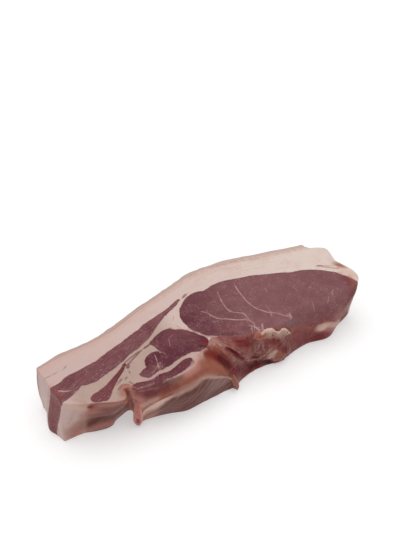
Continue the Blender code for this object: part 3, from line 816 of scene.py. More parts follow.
@dataclass
class FleshBlock:
    """Fat and lean of the slice as one closed skin laid out like an unfolded box.

    The ring of the outline has columns along the front and the back, and fewer across each end.
    Walls climb it by length; the cut face and the underside are stretched between its four sides.
    On the square map, map_spots are the places (mm) of the cut face, the underside and the walls.
    """

    columns: int = 300
    across: int = 92
    rows: int = 46
    notch_x: float = -62.5
    notch_width: float = 5.0
    map_side: float = 256.0
    map_spots: tuple[tuple[float, float], ...] = (
        (105, 40), (105, 122), (4, 164), (214, 4), (4, 206), (214, 90),
    )
    dome: float = 0.5
    seam_depth: float = 0.3

    def outline(self) -> Array:
        """The upper outline inside the rind, anticlockwise from the belly's front corner.

        The front's columns stand closer by the notch. Corners are eased by averaging each point with
        its neighbours three times.
        """
        x = np.linspace(FRONT[0, 0], FRONT[-1, 0], 3000)
        front = np.column_stack([x, through_stations(FRONT, x)[:, 0]])
        from_notch = (x[1:] - self.notch_x) / self.notch_width
        steps = np.diff(lengths(front)) * (1 + 3 * np.exp(-(from_notch**2)))
        front = evenly(front, np.concatenate([[0.0], np.cumsum(steps)]), self.columns + 1)
        back = smooth_path(BACK, 1.0)
        back = (back + right_of(np.gradient(back, axis=0)) * FORM.rind_thickness)[::-1]
        back = evenly(back, lengths(back), self.columns + 1)
        loin = smooth_path(np.vstack([front[-1:], LOIN_END, back[:1]]), 0.8)
        belly = np.vstack([back[-1:], front[:1]])
        loin, belly = (evenly(path, lengths(path), self.across + 1) for path in (loin, belly))
        ring = np.vstack([front[:-1], loin[:-1], back[:-1], belly[:-1]])
        for _ in range(3):
            ring = (np.roll(ring, 1, 0) + 2 * ring + np.roll(ring, -1, 0)) / 4
        return ring

    def sides(self) -> tuple[Array, Array, Array, Array]:
        """Ring numbers of the front, the loin's end, the back and the belly's end, corners in both."""
        corners = np.cumsum([0, self.columns, self.across, self.columns, self.across])
        return tuple(np.arange(a, b + 1) % corners[-1] for a, b in zip(corners[:-1], corners[1:]))

    def face_grid(self, ring: Array) -> Array:
        """The grid stretched inside the ring, rows from the front to the back."""
        front, loin, back, belly = self.sides()
        return coons(ring[front], ring[back[::-1]], ring[belly[::-1]], ring[loin])

    def lay_out(self) -> None:
        """Works out every vertex: the walls, rows by ring, then the insides of the two faces."""
        ring = self.outline()
        normals = right_of(np.roll(ring, -1, 0) - np.roll(ring, 1, 0))
        radius = FORM.upper_radius(ring)
        self.along = np.linspace(0, 1, self.rows + 1)[:, None] * FORM.climb_length(radius)
        inset, z, facing = FORM.climb(self.along, radius)
        walls = ring[None] - normals[None] * FORM.tucked(inset, ring[None, :, 0], z)[..., None]
        faces = (self.face_grid(walls[row])[1:-1, 1:-1].reshape(-1, 2) for row in (-1, 0))
        self.cut = np.vstack([walls.reshape(-1, 2), *faces])
        inside = np.ones((self.across - 1) * (self.columns - 1))

        def over(on_walls: Array, on_top: float = 0.0, under: float = 0.0) -> Array:
            """A number for every vertex from those on the walls, the cut face and the underside."""
            on_walls = np.broadcast_to(on_walls, z.shape).ravel()
            return np.concatenate([on_walls, on_top * inside, under * inside])

        number = np.arange(len(ring))
        self.z, self.facing = over(z, FORM.thickness), over(facing, np.pi / 2, -np.pi / 2)
        self.on_front = over(number <= self.columns)
        self.on_end = over((number >= 2 * self.columns + self.across) | (number == 0))
        self.front_x = over(ring[:, 0])
        self.bulge = self.on_front * (np.abs(self.facing) < 1.57) * FORM.front_bulge(self.front_x, self.z)
        self.normal = np.column_stack([over(side) for side in normals.T])

    def numbers(self) -> tuple[Array, Array, Array]:
        """Vertex numbers of the walls, the cut face and the underside, each as a grid."""
        total = 2 * (self.columns + self.across)
        walls = np.arange((self.rows + 1) * total).reshape(self.rows + 1, total)
        inner = (self.across - 1) * (self.columns - 1)
        front, loin, back, belly = self.sides()
        grids = []
        for row, first in ((walls[-1], walls.size), (walls[0], walls.size + inner)):
            grid = np.zeros((self.across + 1, self.columns + 1), int)
            grid[0], grid[-1] = row[front], row[back[::-1]]
            grid[:, 0], grid[:, -1] = row[belly[::-1]], row[loin]
            grid[1:-1, 1:-1] = first + np.arange(inner).reshape(self.across - 1, self.columns - 1)
            grids.append(grid)
        return walls, *grids

    def faces(self) -> tuple[Array, Array]:
        """The quads, and where their corners lie on a square map: the walls below the two faces."""
        walls, top, bottom = self.numbers()
        quads, flat = [], []

        def add(ids: Array, u: Array, v: Array, turn: int = 1) -> None:
            """Adds a grid of faces with its map places in millimetres; a turn of -1 turns them over."""
            spot = grid_quads(np.arange(ids.size).reshape(ids.shape))[:, ::turn]
            quads.append(grid_quads(ids)[:, ::turn])
            flat.append(np.stack([u, v], axis=-1).reshape(-1, 2)[spot] / self.map_side)

        for ids, (u, v), turn in ((top, self.map_spots[0], 1), (bottom, self.map_spots[1], -1)):
            add(ids, self.cut[ids][..., 0] + u, self.cut[ids][..., 1] + v, turn)
        for side, (u, v) in zip(self.sides(), self.map_spots[2:]):
            ids, climb = walls[:, side], self.along[:, side]
            run = np.broadcast_to(lengths(self.cut[walls[self.rows // 2]][side]), ids.shape)
            if len(side) > self.across + 1:
                add(ids, u + run, v + climb)
            else:
                add(ids, u + climb, v + run[0, -1] - run)
        return np.vstack(quads), np.vstack(flat)

    def tissue_depths(self) -> Array:
        """How deep each vertex lies in every lean tissue.

        The belly's lean narrows and leans down its cut end, so there it is read at a moved place.
        """
        moved = self.cut.copy()
        at_end = rise(self.cut[:, 0], -88, -94) * (1 - self.z / FORM.thickness)
        moved[:, 1] += at_end * np.interp(self.cut[:, 1], [-11, -5], [-5, 2])
        spots = [moved] + [self.cut] * (len(TISSUES) - 1)
        return np.array([depth_inside(tissue.outline, spot) for tissue, spot in zip(TISSUES, spots)])

    def nearest_thread(self, threads: tuple[Band, ...]) -> tuple[Array, Array, Array]:
        """Place beside the nearest thread in half widths, with and without a sign, and its strength."""
        near = np.full(len(self.cut), 9.0)
        side, strength = near.copy(), np.zeros(len(self.cut))
        for thread in threads:
            signed, far = (place / thread.half for place in beside_line(thread.line, self.cut))
            closer = far < near
            near = np.where(closer, far, near)
            side = np.where(closer, np.clip(signed, -9, 9), side)
            strength = np.where(closer, thread.strength, strength)
        return side, near, strength

    def stains_and_painted_light(self) -> Array:
        """The strength of every kind of mark on every vertex, painted shade and highlight too."""
        over = rise(self.facing, np.radians(25), np.radians(70))
        x, y = self.cut.T
        return (
            over * stains_and_painted_light_at(x, y, TOP_MARKS)
            + (1 - over) * self.on_front * stains_and_painted_light_at(self.front_x, self.z, FRONT_MARKS, TORN_MARKS)
            + (1 - over) * self.on_end * stains_and_painted_light_at(y, self.z, END_MARKS)
        )

    def build(self, finish: "FleshFinish") -> bpy.types.Object:
        """Builds and dresses the block.

        Over the cut face the lean stands up by dome (1 - e^-d) at depth d, the seams sink by
        seam_depth e^-(d/0.6)^2, and everything is uneven. The underside is stretched anew inside the
        foot, which has moved.

        Args:
            finish: the flesh's finish.

        Returns:
            The piece.
        """
        self.lay_out()
        depths = self.tissue_depths()
        lean, owner = depths.max(axis=0), depths.argmax(axis=0)
        x, y = self.cut.T
        lift = self.dome * (1 - np.exp(-np.maximum(lean, 0))) - self.seam_depth * np.exp(-((lean / 0.6) ** 2))
        lift = lift + FORM.unevenness(x, y) - 0.35 * np.exp(-((depths[-1] + 1) ** 2))
        place = FORM.sink(self.cut, self.z) + self.normal * self.bulge[:, None] + FORM.centre_shift
        walls, _, under = self.numbers()
        place[under[1:-1, 1:-1]] = self.face_grid(place[walls[0]])[1:-1, 1:-1]
        points = np.column_stack([place, self.z + lift * np.clip(np.sin(self.facing), 0, 1) ** 2])
        made = make_mesh("flesh", points, *self.faces())
        tones = [np.interp(self.cut[:, tissue.axis], tissue.stations, tissue.shades) for tissue in TISSUES]
        traits = np.array([(tissue.redness, tissue.kind, tissue.flecks) for tissue in TISSUES])
        red, kind, fleck = traits[owner].T
        wall = rise(self.facing, np.radians(70), np.radians(25))
        red = red + wall * (0.75 * self.on_front * rise(x, -4, 2) * rise(self.z, 30, 16) + 0.4 * self.on_end)
        carry(made, "tissue", np.clip(lean, -9, 9), kind, np.clip(through_stations(BACK, x)[:, 0] - y, 0, 30))
        carry(made, "tone", np.choose(owner, tones), red, fleck)
        carry(made, "threads", *self.nearest_thread(THREADS))
        carry(made, "dashes", *self.nearest_thread(DASHES))
        middle = np.interp(x, [-97, -85, -65, -45, -28, -9], [-9.5, -6, -4, 2, 8.6, 15.4])
        padded = rise(x, -12, -30) * rise(middle - y, -1, 2) * rise(x, -96, -86)
        carry(made, "facing", np.sin(self.facing), np.interp(x, [-80, 80], [0, 1]), padded)
        stains_and_painted_light = self.stains_and_painted_light()
        carry(made, "low_stains", *stains_and_painted_light[:3])
        # Pale, blood and the darkest mark, which is painted shade; the pale one also paints a highlight on
        # one lit edge.
        carry(made, "high_stains_and_painted_light", *stains_and_painted_light[3:])
        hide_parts("fat", "loin_eye", "belly_strip", "flank_strip", "rib_meat")
        return dress(made, finish.material())


@dataclass
class Rind:
    """The strip of skin on the back: a shell swept along it, thinning to nothing at its rim."""

    thickness: float = 2.6
    edge_radius: float = 0.9
    end_radius: float = 1.3
    columns: int = 300
    rows: int = 44

    def build(self, finish: "RindFinish") -> bpy.types.Object:
        """Builds and dresses the rind.

        Its outer side runs out under the foot, up the back and in over the top, with quarter
        rounds of edge_radius. At distance s from an end it is thinner by the share
        1 - sqrt(1 - (1 - s / end_radius)^2).

        Args:
            finish: the rind's finish.

        Returns:
            The piece.
        """
        path = smooth_path(BACK, 1.0)
        path = evenly(path, lengths(path), self.columns)
        outward = -right_of(np.gradient(path, axis=0))
        along = lengths(path)
        from_end = np.clip(np.minimum(along, along[-1] - along) / self.end_radius, 0, 1)
        full = np.sqrt(1 - (1 - from_end) ** 2)
        radius, height, flat = self.edge_radius, FORM.thickness, self.thickness - self.edge_radius
        turn = np.linspace(0, np.pi / 2, 7)
        out = np.concatenate([
            np.linspace(0, flat, 4)[:-1], flat + radius * np.sin(turn),
            np.full(self.rows - 2, self.thickness),
            flat + radius * np.cos(turn), np.linspace(flat, 0, 4)[1:],
        ])
        z = np.concatenate([
            np.zeros(3), radius * (1 - np.cos(turn)),
            np.linspace(radius, height - radius, self.rows)[1:-1],
            height - radius + radius * np.sin(turn), np.full(3, height),
        ])[:, None]
        noise = 0.18 * rough_noise(along[None], z, 7.0, 31)
        thick = full * out[:, None] * (1 + noise * np.clip(out / self.thickness, 0, 1)[:, None])
        edge_z = z + 0.25 * lattice_noise(along[None], z, 9.0, 37) * (z > height / 2)
        outer, inner = (self.place(path, outward, reach, edge_z) for reach in (thick, 0 * thick - 0.2))
        inner[0], inner[-1] = outer[0], outer[-1]
        skin = rise(out, self.thickness - 1.1, self.thickness - 0.2)[:, None] * full
        carried = {"skin": (skin[:, ::-1], along[None, ::-1], z)}
        return dress(closed_patch("rind", outer[:, ::-1], inner[:, ::-1], carried), finish.material())

    def place(self, path: Array, outward: Array, out: Array, z: Array) -> Array:
        """Places that far out from the rind's inner side, carried down through the slice."""
        cut = (path[None] + outward[None] * (out - self.thickness)[..., None]).reshape(-1, 2)
        level = z.ravel() + FORM.unevenness(*cut.T) * rise(z.ravel(), FORM.thickness - 2, FORM.thickness)
        return np.column_stack([FORM.sink(cut, z.ravel()) + FORM.centre_shift, level]).reshape(*z.shape, 3)


@dataclass
class Drape:
    """A thin closed piece that lies on the front side between two lines.

    Each line has its places left to right as x and the length climbed from the foot, and both
    have as many. Between them the grid is ruled straight.
    """

    name: str
    slot: str
    lower: Line
    upper: Line
    columns: int
    rows: int
    thickness: float = 0.4
    rim: float = 1.2
    roughness: float = 0.0
    grain: float = 2.0
    rolled: float = 0.0

    def spread(self) -> tuple[Array, Array, Array, Array]:
        """x, climbed length, and distance (mm) to the whole rim and to the upper line, over the grid."""
        lines = [np.reshape(line, (-1, 2)) for line in (self.lower, self.upper)]
        step = np.linspace(0, len(lines[0]) - 1, self.columns)
        low, high = (through_stations(np.column_stack([np.arange(len(line)), line]), step) for line in lines)
        share = np.linspace(0, 1, self.rows)[:, None]
        place = low + (high - low) * share[..., None]
        tall = np.linalg.norm(high - low, axis=1)
        apart = np.linalg.norm(np.diff(place, axis=1), axis=2)
        run = np.hstack([np.zeros((self.rows, 1)), np.cumsum(apart, axis=1)])
        from_top = (1 - share) * tall
        rim = np.minimum.reduce([run, run[:, -1:] - run, share * tall, from_top])
        return place[..., 0], place[..., 1], rim, from_top

    def build(self, finish: "TornFinish | LiningFinish | CrustFinish") -> bpy.types.Object:
        """Builds and dresses the piece.

        Its thickness grows by sqrt(1 - (1 - d / rim)^2) at distance d from its rim, with noise of
        grain size and a rolled upper edge: rolled e^-((d - 1) / 0.8)^2. Its underside lies inside
        the meat.

        Args:
            finish: the piece's finish.

        Returns:
            The piece.
        """
        x, along, rim, from_top = self.spread()
        swell = np.sqrt(1 - (1 - np.clip(rim / self.rim, 0, 1)) ** 2)
        thick = self.thickness + self.roughness * rough_noise(x, along, self.grain, 41)
        thick = np.maximum(thick, 0.15) + self.rolled * np.exp(-(((from_top - 1) / 0.8) ** 2))
        outer = FORM.on_front(x, along, thick * swell - 0.05 - 0.35 * (1 - swell))
        inner = FORM.on_front(x, along, 0 * x - 0.7)
        z = np.minimum(outer[..., 2], FORM.thickness)
        stains_and_painted_light = stains_and_painted_light_at(x, z, TORN_MARKS)
        carried = {
            "lie": (x, z, from_top), "strand": (*FORM.fibres(x, z), rim),
            "low_stains": stains_and_painted_light[:3], "high_stains_and_painted_light": stains_and_painted_light[3:],
        }
        return dress(closed_patch(self.name, outer, inner, carried), finish.material())


RIB_LINING = Drape(
    "rib_lining", "rib_meat",
    (-57.6, 1.3, -50, 1.2, -44, 1.2, -38, 1.2, -32, 1.2, -26, 1.2, -20, 1.2, -14, 1.2, -8, 1.2,
     -3, 1.2, 0.4, 1.4),
    (-57.4, 14, -53, 20.6, -48.4, 22.6, -43, 23.2, -37.5, 23, -32, 23.4, -26.4, 24.2, -20.8, 24.8,
     -13.6, 21.4, -6.4, 17.4, 0.2, 11.6),
    230, 90, thickness=0.3, rim=0.9, roughness=0.06, grain=3.0, rolled=0.45,
)
SAWN_MEAT = Drape(
    "sawn_meat", "loin_eye",
    (2.6, 1.3, 8, 1.2, 14, 1.2, 20, 1.2, 26, 1.2, 32, 1.2, 38, 1.2, 45, 1.3),
    (-10.6, 32.8, -3, 33.1, 5, 33.2, 13, 33.2, 21, 33.2, 29, 33, 38, 31.4, 46.4, 20),
    220, 124, thickness=0.45, rim=1.0, roughness=0.22, grain=1.7,
)
CRUST = Drape(
    "fat_crust", "fat",
    (16.8, 30.2, 18.8, 29, 20.8, 27.6, 24, 26.8, 26.4, 26.2, 29, 24.3, 31.8, 23.9, 33.8, 23.2, 35.2, 20.4,
     36.6, 20.6, 38.2, 23, 40.4, 22.8, 43.2, 21.2),
    (17, 31, 18.6, 32.6, 20.6, 33.6, 22.4, 32.6, 24.4, 33.2, 26.8, 33.4, 29.2, 33, 31.2, 31.4, 33, 30.8,
     35, 31.8, 37.2, 30.8, 39.6, 27.2, 43.4, 22),
    210, 60, thickness=0.65, rim=0.8, roughness=0.28, grain=2.0, rolled=0.5,
)


@dataclass
class Tongue:
    """A hanging lobe of flesh: a lens swept down a path of x, y, z and half width."""

    name: str
    path: tuple[tuple[float, float, float, float], ...]
    thickness: float
    hollow: float = 0.0
    facing: float = -122.0
    rows: int = 60
    columns: int = 40

    def build(self, finish: "LobeFinish") -> bpy.types.Object:
        """Builds and dresses the lobe.

        Across it the place is the path's plus w s sideways and t sqrt(1 - s^2) outwards for s from
        -1 to 1, w being the half width there; its lower end is rounded, and its middle is hollow.

        Args:
            finish: the lobe's finish.

        Returns:
            The piece.
        """
        table = np.column_stack([np.arange(len(self.path)), self.path])
        step = np.linspace(0, len(self.path) - 1, self.rows)
        centre, half = np.split(through_stations(table, step), [3], axis=1)
        share = np.linspace(0, 1, self.rows)[:, None]
        arch = np.clip(np.sin(np.pi * share), 0, 1)
        half = half * (0.08 + 0.92 * np.sqrt(arch))
        turn = np.radians(self.facing)
        sideways = np.array([-np.sin(turn), np.cos(turn), 0])
        outwards = np.array([np.cos(turn), np.sin(turn), 0.25])
        s = np.sin(np.linspace(-np.pi / 2, np.pi / 2, self.columns))[None]
        full = np.sqrt(1 - s**2) * arch**0.4
        uneven = 1 + 0.2 * rough_noise(s * 4, share * 9, 1.6, 51)
        dent = self.hollow * np.exp(-((s / 0.45) ** 2) - ((share - 0.34) / 0.15) ** 2)
        middle = centre[:, None] + (half * s)[..., None] * sideways
        outer = middle + ((self.thickness * uneven - dent) * full)[..., None] * outwards
        inner = middle - (0.7 * self.thickness * full)[..., None] * outwards
        outer[..., 2], inner[..., 2] = np.maximum(outer[..., 2], 0), np.maximum(inner[..., 2], 0.01)
        made = closed_patch(self.name, outer, inner, {"lobe": (s, share, dent)})
        return dress(made, finish.material())


FLAP = Tongue("hanging_flap", (
    (-59.2, -27.9, 1.4, 2.3), (-59.6, -28.6, 5.5, 2.8), (-59.6, -28.9, 10, 2.7), (-59.2, -28.4, 15, 2.6),
    (-58.8, -27.4, 21, 2.6),
), 1.4, hollow=0.9)
TAG = Tongue("small_tag", (
    (2, -36.2, 1.2, 0.9), (1.7, -36.3, 4.2, 1.4), (1, -35.6, 8, 1.9), (0.2, -33.8, 13.5, 2.2),
), 0.7)


def tint(colour: Colour, veil: float = 0.018) -> tuple[float, float, float, float]:
    """A colour as it is seen, in 0-255 display numbers, as the linear base colour that gives it.

    Args:
        colour: the colour seen.
        veil: what its gloss adds.

    Returns:
        Red, green, blue and 1.
    """
    share = np.asarray(colour, float) / 255
    linear = np.where(share <= 0.04045, share / 12.92, ((share + 0.055) / 1.055) ** 2.4)
    red, green, blue = (float(part) for part in np.clip(linear - veil, 0.003, 1))
    return red, green, blue, 1.0


@dataclass(frozen=True)
class Wire:
    """A number or a colour on its way through a recipe."""

    recipe: "Recipe"
    socket: Socket

    def sum(self, operation: str, other: "Wire | float" = 0.0, clamp: bool = False) -> "Wire":
        """One sum with another number, by Blender's name for it, held between 0 and 1 if clamped."""
        return self.recipe.step("Math", {0: self, 1: other}, operation=operation, use_clamp=clamp)

    def __add__(self, other: "Wire | float") -> "Wire":
        """Adds another number."""
        return self.sum("ADD", other)

    def __mul__(self, other: "Wire | float") -> "Wire":
        """Multiplies by another number."""
        return self.sum("MULTIPLY", other)

    def swing(self, size: float) -> "Wire":
        """A noise about 0.5 as a number about 0, size times as large."""
        return self.sum("SUBTRACT", 0.5) * size

    def span(self, low: float, high: float, least: float = 0.0, most: float = 1.0) -> "Wire":
        """Eases from least where it is low to most where it is high, and holds it there outside."""
        values = {"Value": self, "From Min": low, "From Max": high, "To Min": least, "To Max": most}
        return self.recipe.step("MapRange", values, interpolation_type="SMOOTHSTEP")


class Recipe:
    """Writes a material's node tree one step at a time, on millimetre coordinates."""

    def __init__(self, name: str) -> None:
        """Starts an empty recipe."""
        self.material = bpy.data.materials.new(name)
        self.material.use_nodes = True
        self.tree = self.material.node_tree
        metres = self.step("TexCoord", {}, "Object")
        self.place = self.step("VectorMath", {0: metres, "Scale": 1 / MM}, operation="SCALE")

    def connect(self, node: bpy.types.Node, values: dict[int | str, object]) -> None:
        """Puts wires and constants into a node's inputs."""
        for name, value in values.items():
            if isinstance(value, Wire):
                self.tree.links.new(value.socket, node.inputs[name])
            else:
                node.inputs[name].default_value = value

    def step(
        self, kind: str, values: dict[int | str, object], output: int | str = 0, **settings: object
    ) -> Wire:
        """Adds a node.

        Args:
            kind: the shader node's type.
            values: what goes into its inputs.
            output: which of its outputs is used.
            settings: its properties.

        Returns:
            That output.
        """
        node = self.tree.nodes.new("ShaderNode" + kind)
        for name, value in settings.items():
            setattr(node, name, value)
        self.connect(node, values)
        return Wire(self, node.outputs[output])

    def carried(self, name: str) -> list[Wire]:
        """The three numbers that the vertices carry under a name."""
        vector = self.step("Attribute", {}, "Vector", attribute_name=name)
        return [Wire(self, part) for part in self.step("SeparateXYZ", {0: vector}).socket.node.outputs]

    def flat(self, x: Wire, y: Wire) -> Wire:
        """Coordinates from two numbers."""
        return self.step("CombineXYZ", {"X": x, "Y": y})

    def mix(self, share: Wire, low: Wire | Colour, high: Wire | Colour) -> Wire:
        """A colour between two, by share; a constant one is given as it is seen."""
        low, high = (value if isinstance(value, Wire) else tint(value) for value in (low, high))
        return self.step("Mix", {0: share, 6: low, 7: high}, 2, data_type="RGBA")

    def layers(self, colour: Wire | Colour, *over: tuple[Wire, Wire | Colour]) -> Wire:
        """Lays colours over a first one, each by its share."""
        for share, upper in over:
            colour = self.mix(share, colour, upper)
        return colour

    def noise(self, size: float, detail: float = 3.0, where: Wire | None = None, warp: float = 0.0) -> Wire:
        """Cloudy noise about 0.5, its largest features size mm wide, with finer layers and a twist."""
        values = {"Vector": where or self.place, "Scale": 1 / size, "Detail": detail, "Distortion": warp}
        return self.step("TexNoise", values)

    def cells(self, size: float, where: Wire | None = None) -> Wire:
        """Distance to the edge of cells size mm wide."""
        values = {"Vector": where or self.place, "Scale": 1 / size}
        return self.step("TexVoronoi", values, "Distance", feature="DISTANCE_TO_EDGE")

    def drawn_out(self, turn: float, along: float) -> Wire:
        """Coordinates turned about the vertical by degrees, then squeezed along the new x by a factor."""
        values = {"Vector": self.place, "Angle": np.radians(-turn)}
        turned = self.step("VectorRotate", values, rotation_type="Z_AXIS")
        return self.step("VectorMath", {0: turned, 1: (1 / along, 1, 1)}, operation="MULTIPLY")

    def lay_stains_and_painted_light(self, colour: Wire, soft: Wire, fine: Wire) -> Wire:
        """Lays the marks that the vertices carry over a colour, painted shade and highlight among them, their
        edges broken by two noises.
        """
        patchy = soft.swing(0.9) + fine.swing(0.5)
        for share, mark_kind in zip((*self.carried("low_stains"), *self.carried("high_stains_and_painted_light")), StainAndPaintedLight):
            colour = self.mix(share * (share + patchy).span(-0.1, 0.55), colour, mark_kind.value)
        return colour

    def finish(
        self, colour: Wire, roughness: Wire | float, height: Wire, depth: float, **gloss: float
    ) -> bpy.types.Material:
        """Joins the colour, roughness and relief to the shader.

        Args:
            colour: the base colour.
            roughness: the roughness.
            height: the fine relief, 0 to 1.
            depth: how deep that relief is, in millimetres.
            gloss: constants of the shader's own sockets, by their names with _ for a space.

        Returns:
            The finished material.
        """
        normal = self.step("Bump", {"Height": height, "Strength": 1.0, "Distance": depth * MM})
        joined = {"Base Color": colour, "Roughness": roughness, "Normal": normal}
        joined.update((name.replace("_", " "), value) for name, value in gloss.items())
        self.connect(self.tree.nodes["Principled BSDF"], joined)
        return self.material


@dataclass(frozen=True)
class FleshFinish:
    """Colours of the fat and the lean, as seen under the key light."""

    fat_left: Colour = (204, 177, 171)
    fat_right: Colour = (223, 205, 195)
    fat_pad: Colour = (181, 156, 145)
    fat_pink: Colour = (206, 168, 157)
    lean_dark: Colour = (92, 49, 60)
    lean_light: Colour = (141, 99, 101)
    lean_red: Colour = (138, 60, 58)
    gristle: Colour = (188, 154, 150)
    speck: Colour = (186, 148, 146)
    vein: Colour = (152, 112, 111)
    dash: Colour = (112, 66, 64)

    def material(self) -> bpy.types.Material:
        """Writes the material that tells the tissues apart by what the vertices carry."""
        r = Recipe("flesh")
        lean_depth, kind, rind = r.carried("tissue")
        tone, red, fleck = r.carried("tone")
        up, lighter, padded = r.carried("facing")
        fine, soft, broad = r.noise(0.7, 2), r.noise(2.6), r.noise(11, 4, warp=0.6)
        lean = (lean_depth + soft.swing(1.1) + fine.swing(0.7)).span(-0.3, 0.3)
        grown = self.grown(r)
        # The fat: pinker clouds, a pink band inside the rind, faint lines along it, and lobules.
        band = rind.span(1.6, 3.0) * rind.span(7.0, 4.0) * soft.span(0.3, 0.7, 0.3, 0.8)
        fat = r.layers(
            self.fat_left, (lighter, self.fat_right), (padded, self.fat_pad),
            (broad.span(0.45, 0.8, 0, 0.4), self.fat_pink), (band, self.fat_pink),
            (r.noise(1.1, 3, r.flat(lighter * 9.0, rind)).span(0.56, 0.72, 0, 0.4), self.fat_pink),
            (r.cells(2.4, grown).span(0.0, 0.12, 0.22, 0.0), self.fat_pink),
        )
        # The lean: bundles of fibres seen end on in the eye, streaks along the belly, and flecks.
        bundles = r.cells(1.45, grown)
        is_eye, is_belly = kind.span(0.3, 0.7), kind.span(-0.3, -0.7)
        combed = r.noise(0.9, 3, r.drawn_out(17, 7.0)).swing(1.4) * is_belly
        shade = tone + soft.swing(0.5) + broad.swing(0.5) + r.noise(0.4, 2).swing(0.35)
        seams = bundles.span(0.0, 0.09, 1, 0) * r.noise(6).span(0.42, 0.66) * (is_eye * 0.45 + 0.5)
        drawn = r.noise(0.75, 2, r.drawn_out(17, 2.6)).span(0.6, 0.7)
        flecks = r.mix(is_belly, r.noise(1.1).span(0.62, 0.7), drawn) * r.noise(7).span(0.38, 0.6) * fleck
        muscle = r.layers(
            self.lean_dark, (shade.sum("ADD", combed, clamp=True), self.lean_light), (red, self.lean_red),
            (seams, self.vein), (flecks, self.speck),
        )
        # What lies across them.
        threads = self.lines(r, "threads", up, soft) * r.noise(3.5).span(0.34, 0.56, 0.5, 1)
        dashes = self.lines(r, "dashes", up, fine)
        colour = r.layers(fat, (lean, muscle), (threads, self.gristle), (dashes, self.dash))
        height = (soft + fine * 0.6) * 0.5 + bundles.span(0.0, 0.3) * lean * 0.35
        return r.finish(
            r.lay_stains_and_painted_light(colour, soft, fine), soft.span(0.3, 0.75, 0.4, 0.6), height, 0.35,
            Specular_IOR_Level=0.2, Coat_Weight=0.04, Coat_Roughness=0.25,
        )

    def grown(self, r: Recipe) -> Wire:
        """Coordinates pushed about by noise, so that cells look grown."""
        push = r.step("TexNoise", {"Vector": r.place, "Scale": 0.35, "Detail": 2.0}, "Color")
        push = r.step("VectorMath", {0: push, "Scale": 1.6}, operation="SCALE")
        return r.step("VectorMath", {0: r.place, 1: push}, operation="ADD")

    def lines(self, r: Recipe, name: str, up: Wire, wander: Wire) -> Wire:
        """The share of lines: 1 within their half width, on the cut faces only.

        Near them the signed place is used, which passes through nothing between two vertices.
        """
        side, far, strength = r.carried(name)
        place = side.sum("ABSOLUTE") + far.sum("GREATER_THAN", 2.8) * 9.0 + wander.swing(1.6)
        return place.span(0.3, 1.4, 1, 0) * strength * up.span(0.3, 0.8)


@dataclass(frozen=True)
class RindFinish:
    """The skin: tan outside, scraped smooth, with pores; pinkish fat where it is cut."""

    cut_left: Colour = (190, 162, 153)
    cut_right: Colour = (198, 176, 166)
    skin: Colour = (192, 160, 144)
    shadow: Colour = (172, 134, 118)
    pores: Colour = (150, 110, 98)

    def material(self) -> bpy.types.Material:
        """Writes the skin's material."""
        r = Recipe("rind")
        outside, along, _ = r.carried("skin")
        clouds, fine = r.noise(6, 4), r.noise(0.8)
        pores = r.cells(2.0).span(0.0, 0.06, 1, 0) * 0.35
        cut = r.mix(along.span(20, 180), self.cut_left, self.cut_right)
        skin = r.layers(self.skin, (clouds.span(0.35, 0.7), self.shadow), (pores, self.pores))
        colour = r.mix(outside.sum("ADD", fine.swing(0.4), clamp=True), cut, skin)
        return r.finish(colour, 0.55, fine * 0.4 + clouds * 0.6, 0.3, Specular_IOR_Level=0.2)


@dataclass(frozen=True)
class TornFinish:
    """Meat torn along its fibres, with the sawn side's marks, darker where its bump sinks, and shade painted
    into its grooves.
    """

    dark: Colour = (118, 62, 60)
    light: Colour = (160, 104, 98)
    fibre: Colour = (184, 136, 128)

    def material(self) -> bpy.types.Material:
        """Writes the material on the coordinates along and across the fibres."""
        r = Recipe("torn_meat")
        along, across, _ = r.carried("strand")
        lie = r.flat(along * 0.16, across)
        coarse, thin = r.noise(1.6, 3, lie, warp=0.3), r.noise(0.5, 2, lie)
        soft, fine = r.noise(2.2), r.noise(0.6, 2)
        # Darker where the bump sinks: the meat's own streaks, with shade painted into the grooves.
        shade = coarse.swing(1.5).sum("ADD", soft.swing(0.8) + 0.42, clamp=True)
        colour = r.layers(self.dark, (shade, self.light), (thin.span(0.6, 0.75, 0, 0.45), self.fibre))
        # Painted shade at the bottoms of the deepest grooves.
        colour = r.mix(coarse.span(0.4, 0.24, 0, 0.3), r.lay_stains_and_painted_light(colour, soft, thin), StainAndPaintedLight.DARK.value)
        return r.finish(
            colour, 0.5, coarse + (thin + fine) * 0.35, 0.5,
            Specular_IOR_Level=0.18, Coat_Weight=0.02, Coat_Roughness=0.25,
        )


@dataclass(frozen=True)
class LiningFinish:
    """The skin over the ribs: brown, faintly streaked, with a pale rolled edge."""

    left: Colour = (172, 122, 106)
    middle: Colour = (112, 69, 63)
    red: Colour = (114, 61, 56)
    pale: Colour = (214, 178, 165)
    shadow: Colour = (90, 53, 48)

    def material(self) -> bpy.types.Material:
        """Writes the material on x, height and the distance from the upper edge."""
        r = Recipe("rib_lining")
        x, z, below = r.carried("lie")
        streaks, fine, soft = r.noise(3.2, 3, r.flat(x + z * -1.1, z * 0.16)), r.noise(0.7), r.noise(4)
        edge = (below + soft.swing(2.5)) * x.span(-40, -50, 1.0, 0.35)
        colour = r.layers(
            self.left, (x.span(-52, -45), self.middle),
            (z.span(13, 7) * x.span(-46, -36) * x.span(-12, -26), self.red),
            (x.span(-26, -9, 0, 0.22) * z.span(6, 12), self.pale),
            (streaks.span(0.5, 0.3, 0, 0.55), self.shadow), (streaks.span(0.52, 0.72, 0, 0.22), self.pale),
            (edge.span(3.2, 0.6) * x.span(-38, -48, 0.42, 1.0), self.pale),
        )
        return r.finish(
            colour, 0.5, streaks + fine * 0.4, 0.3,
            Specular_IOR_Level=0.2, Coat_Weight=0.04, Coat_Roughness=0.3,
        )


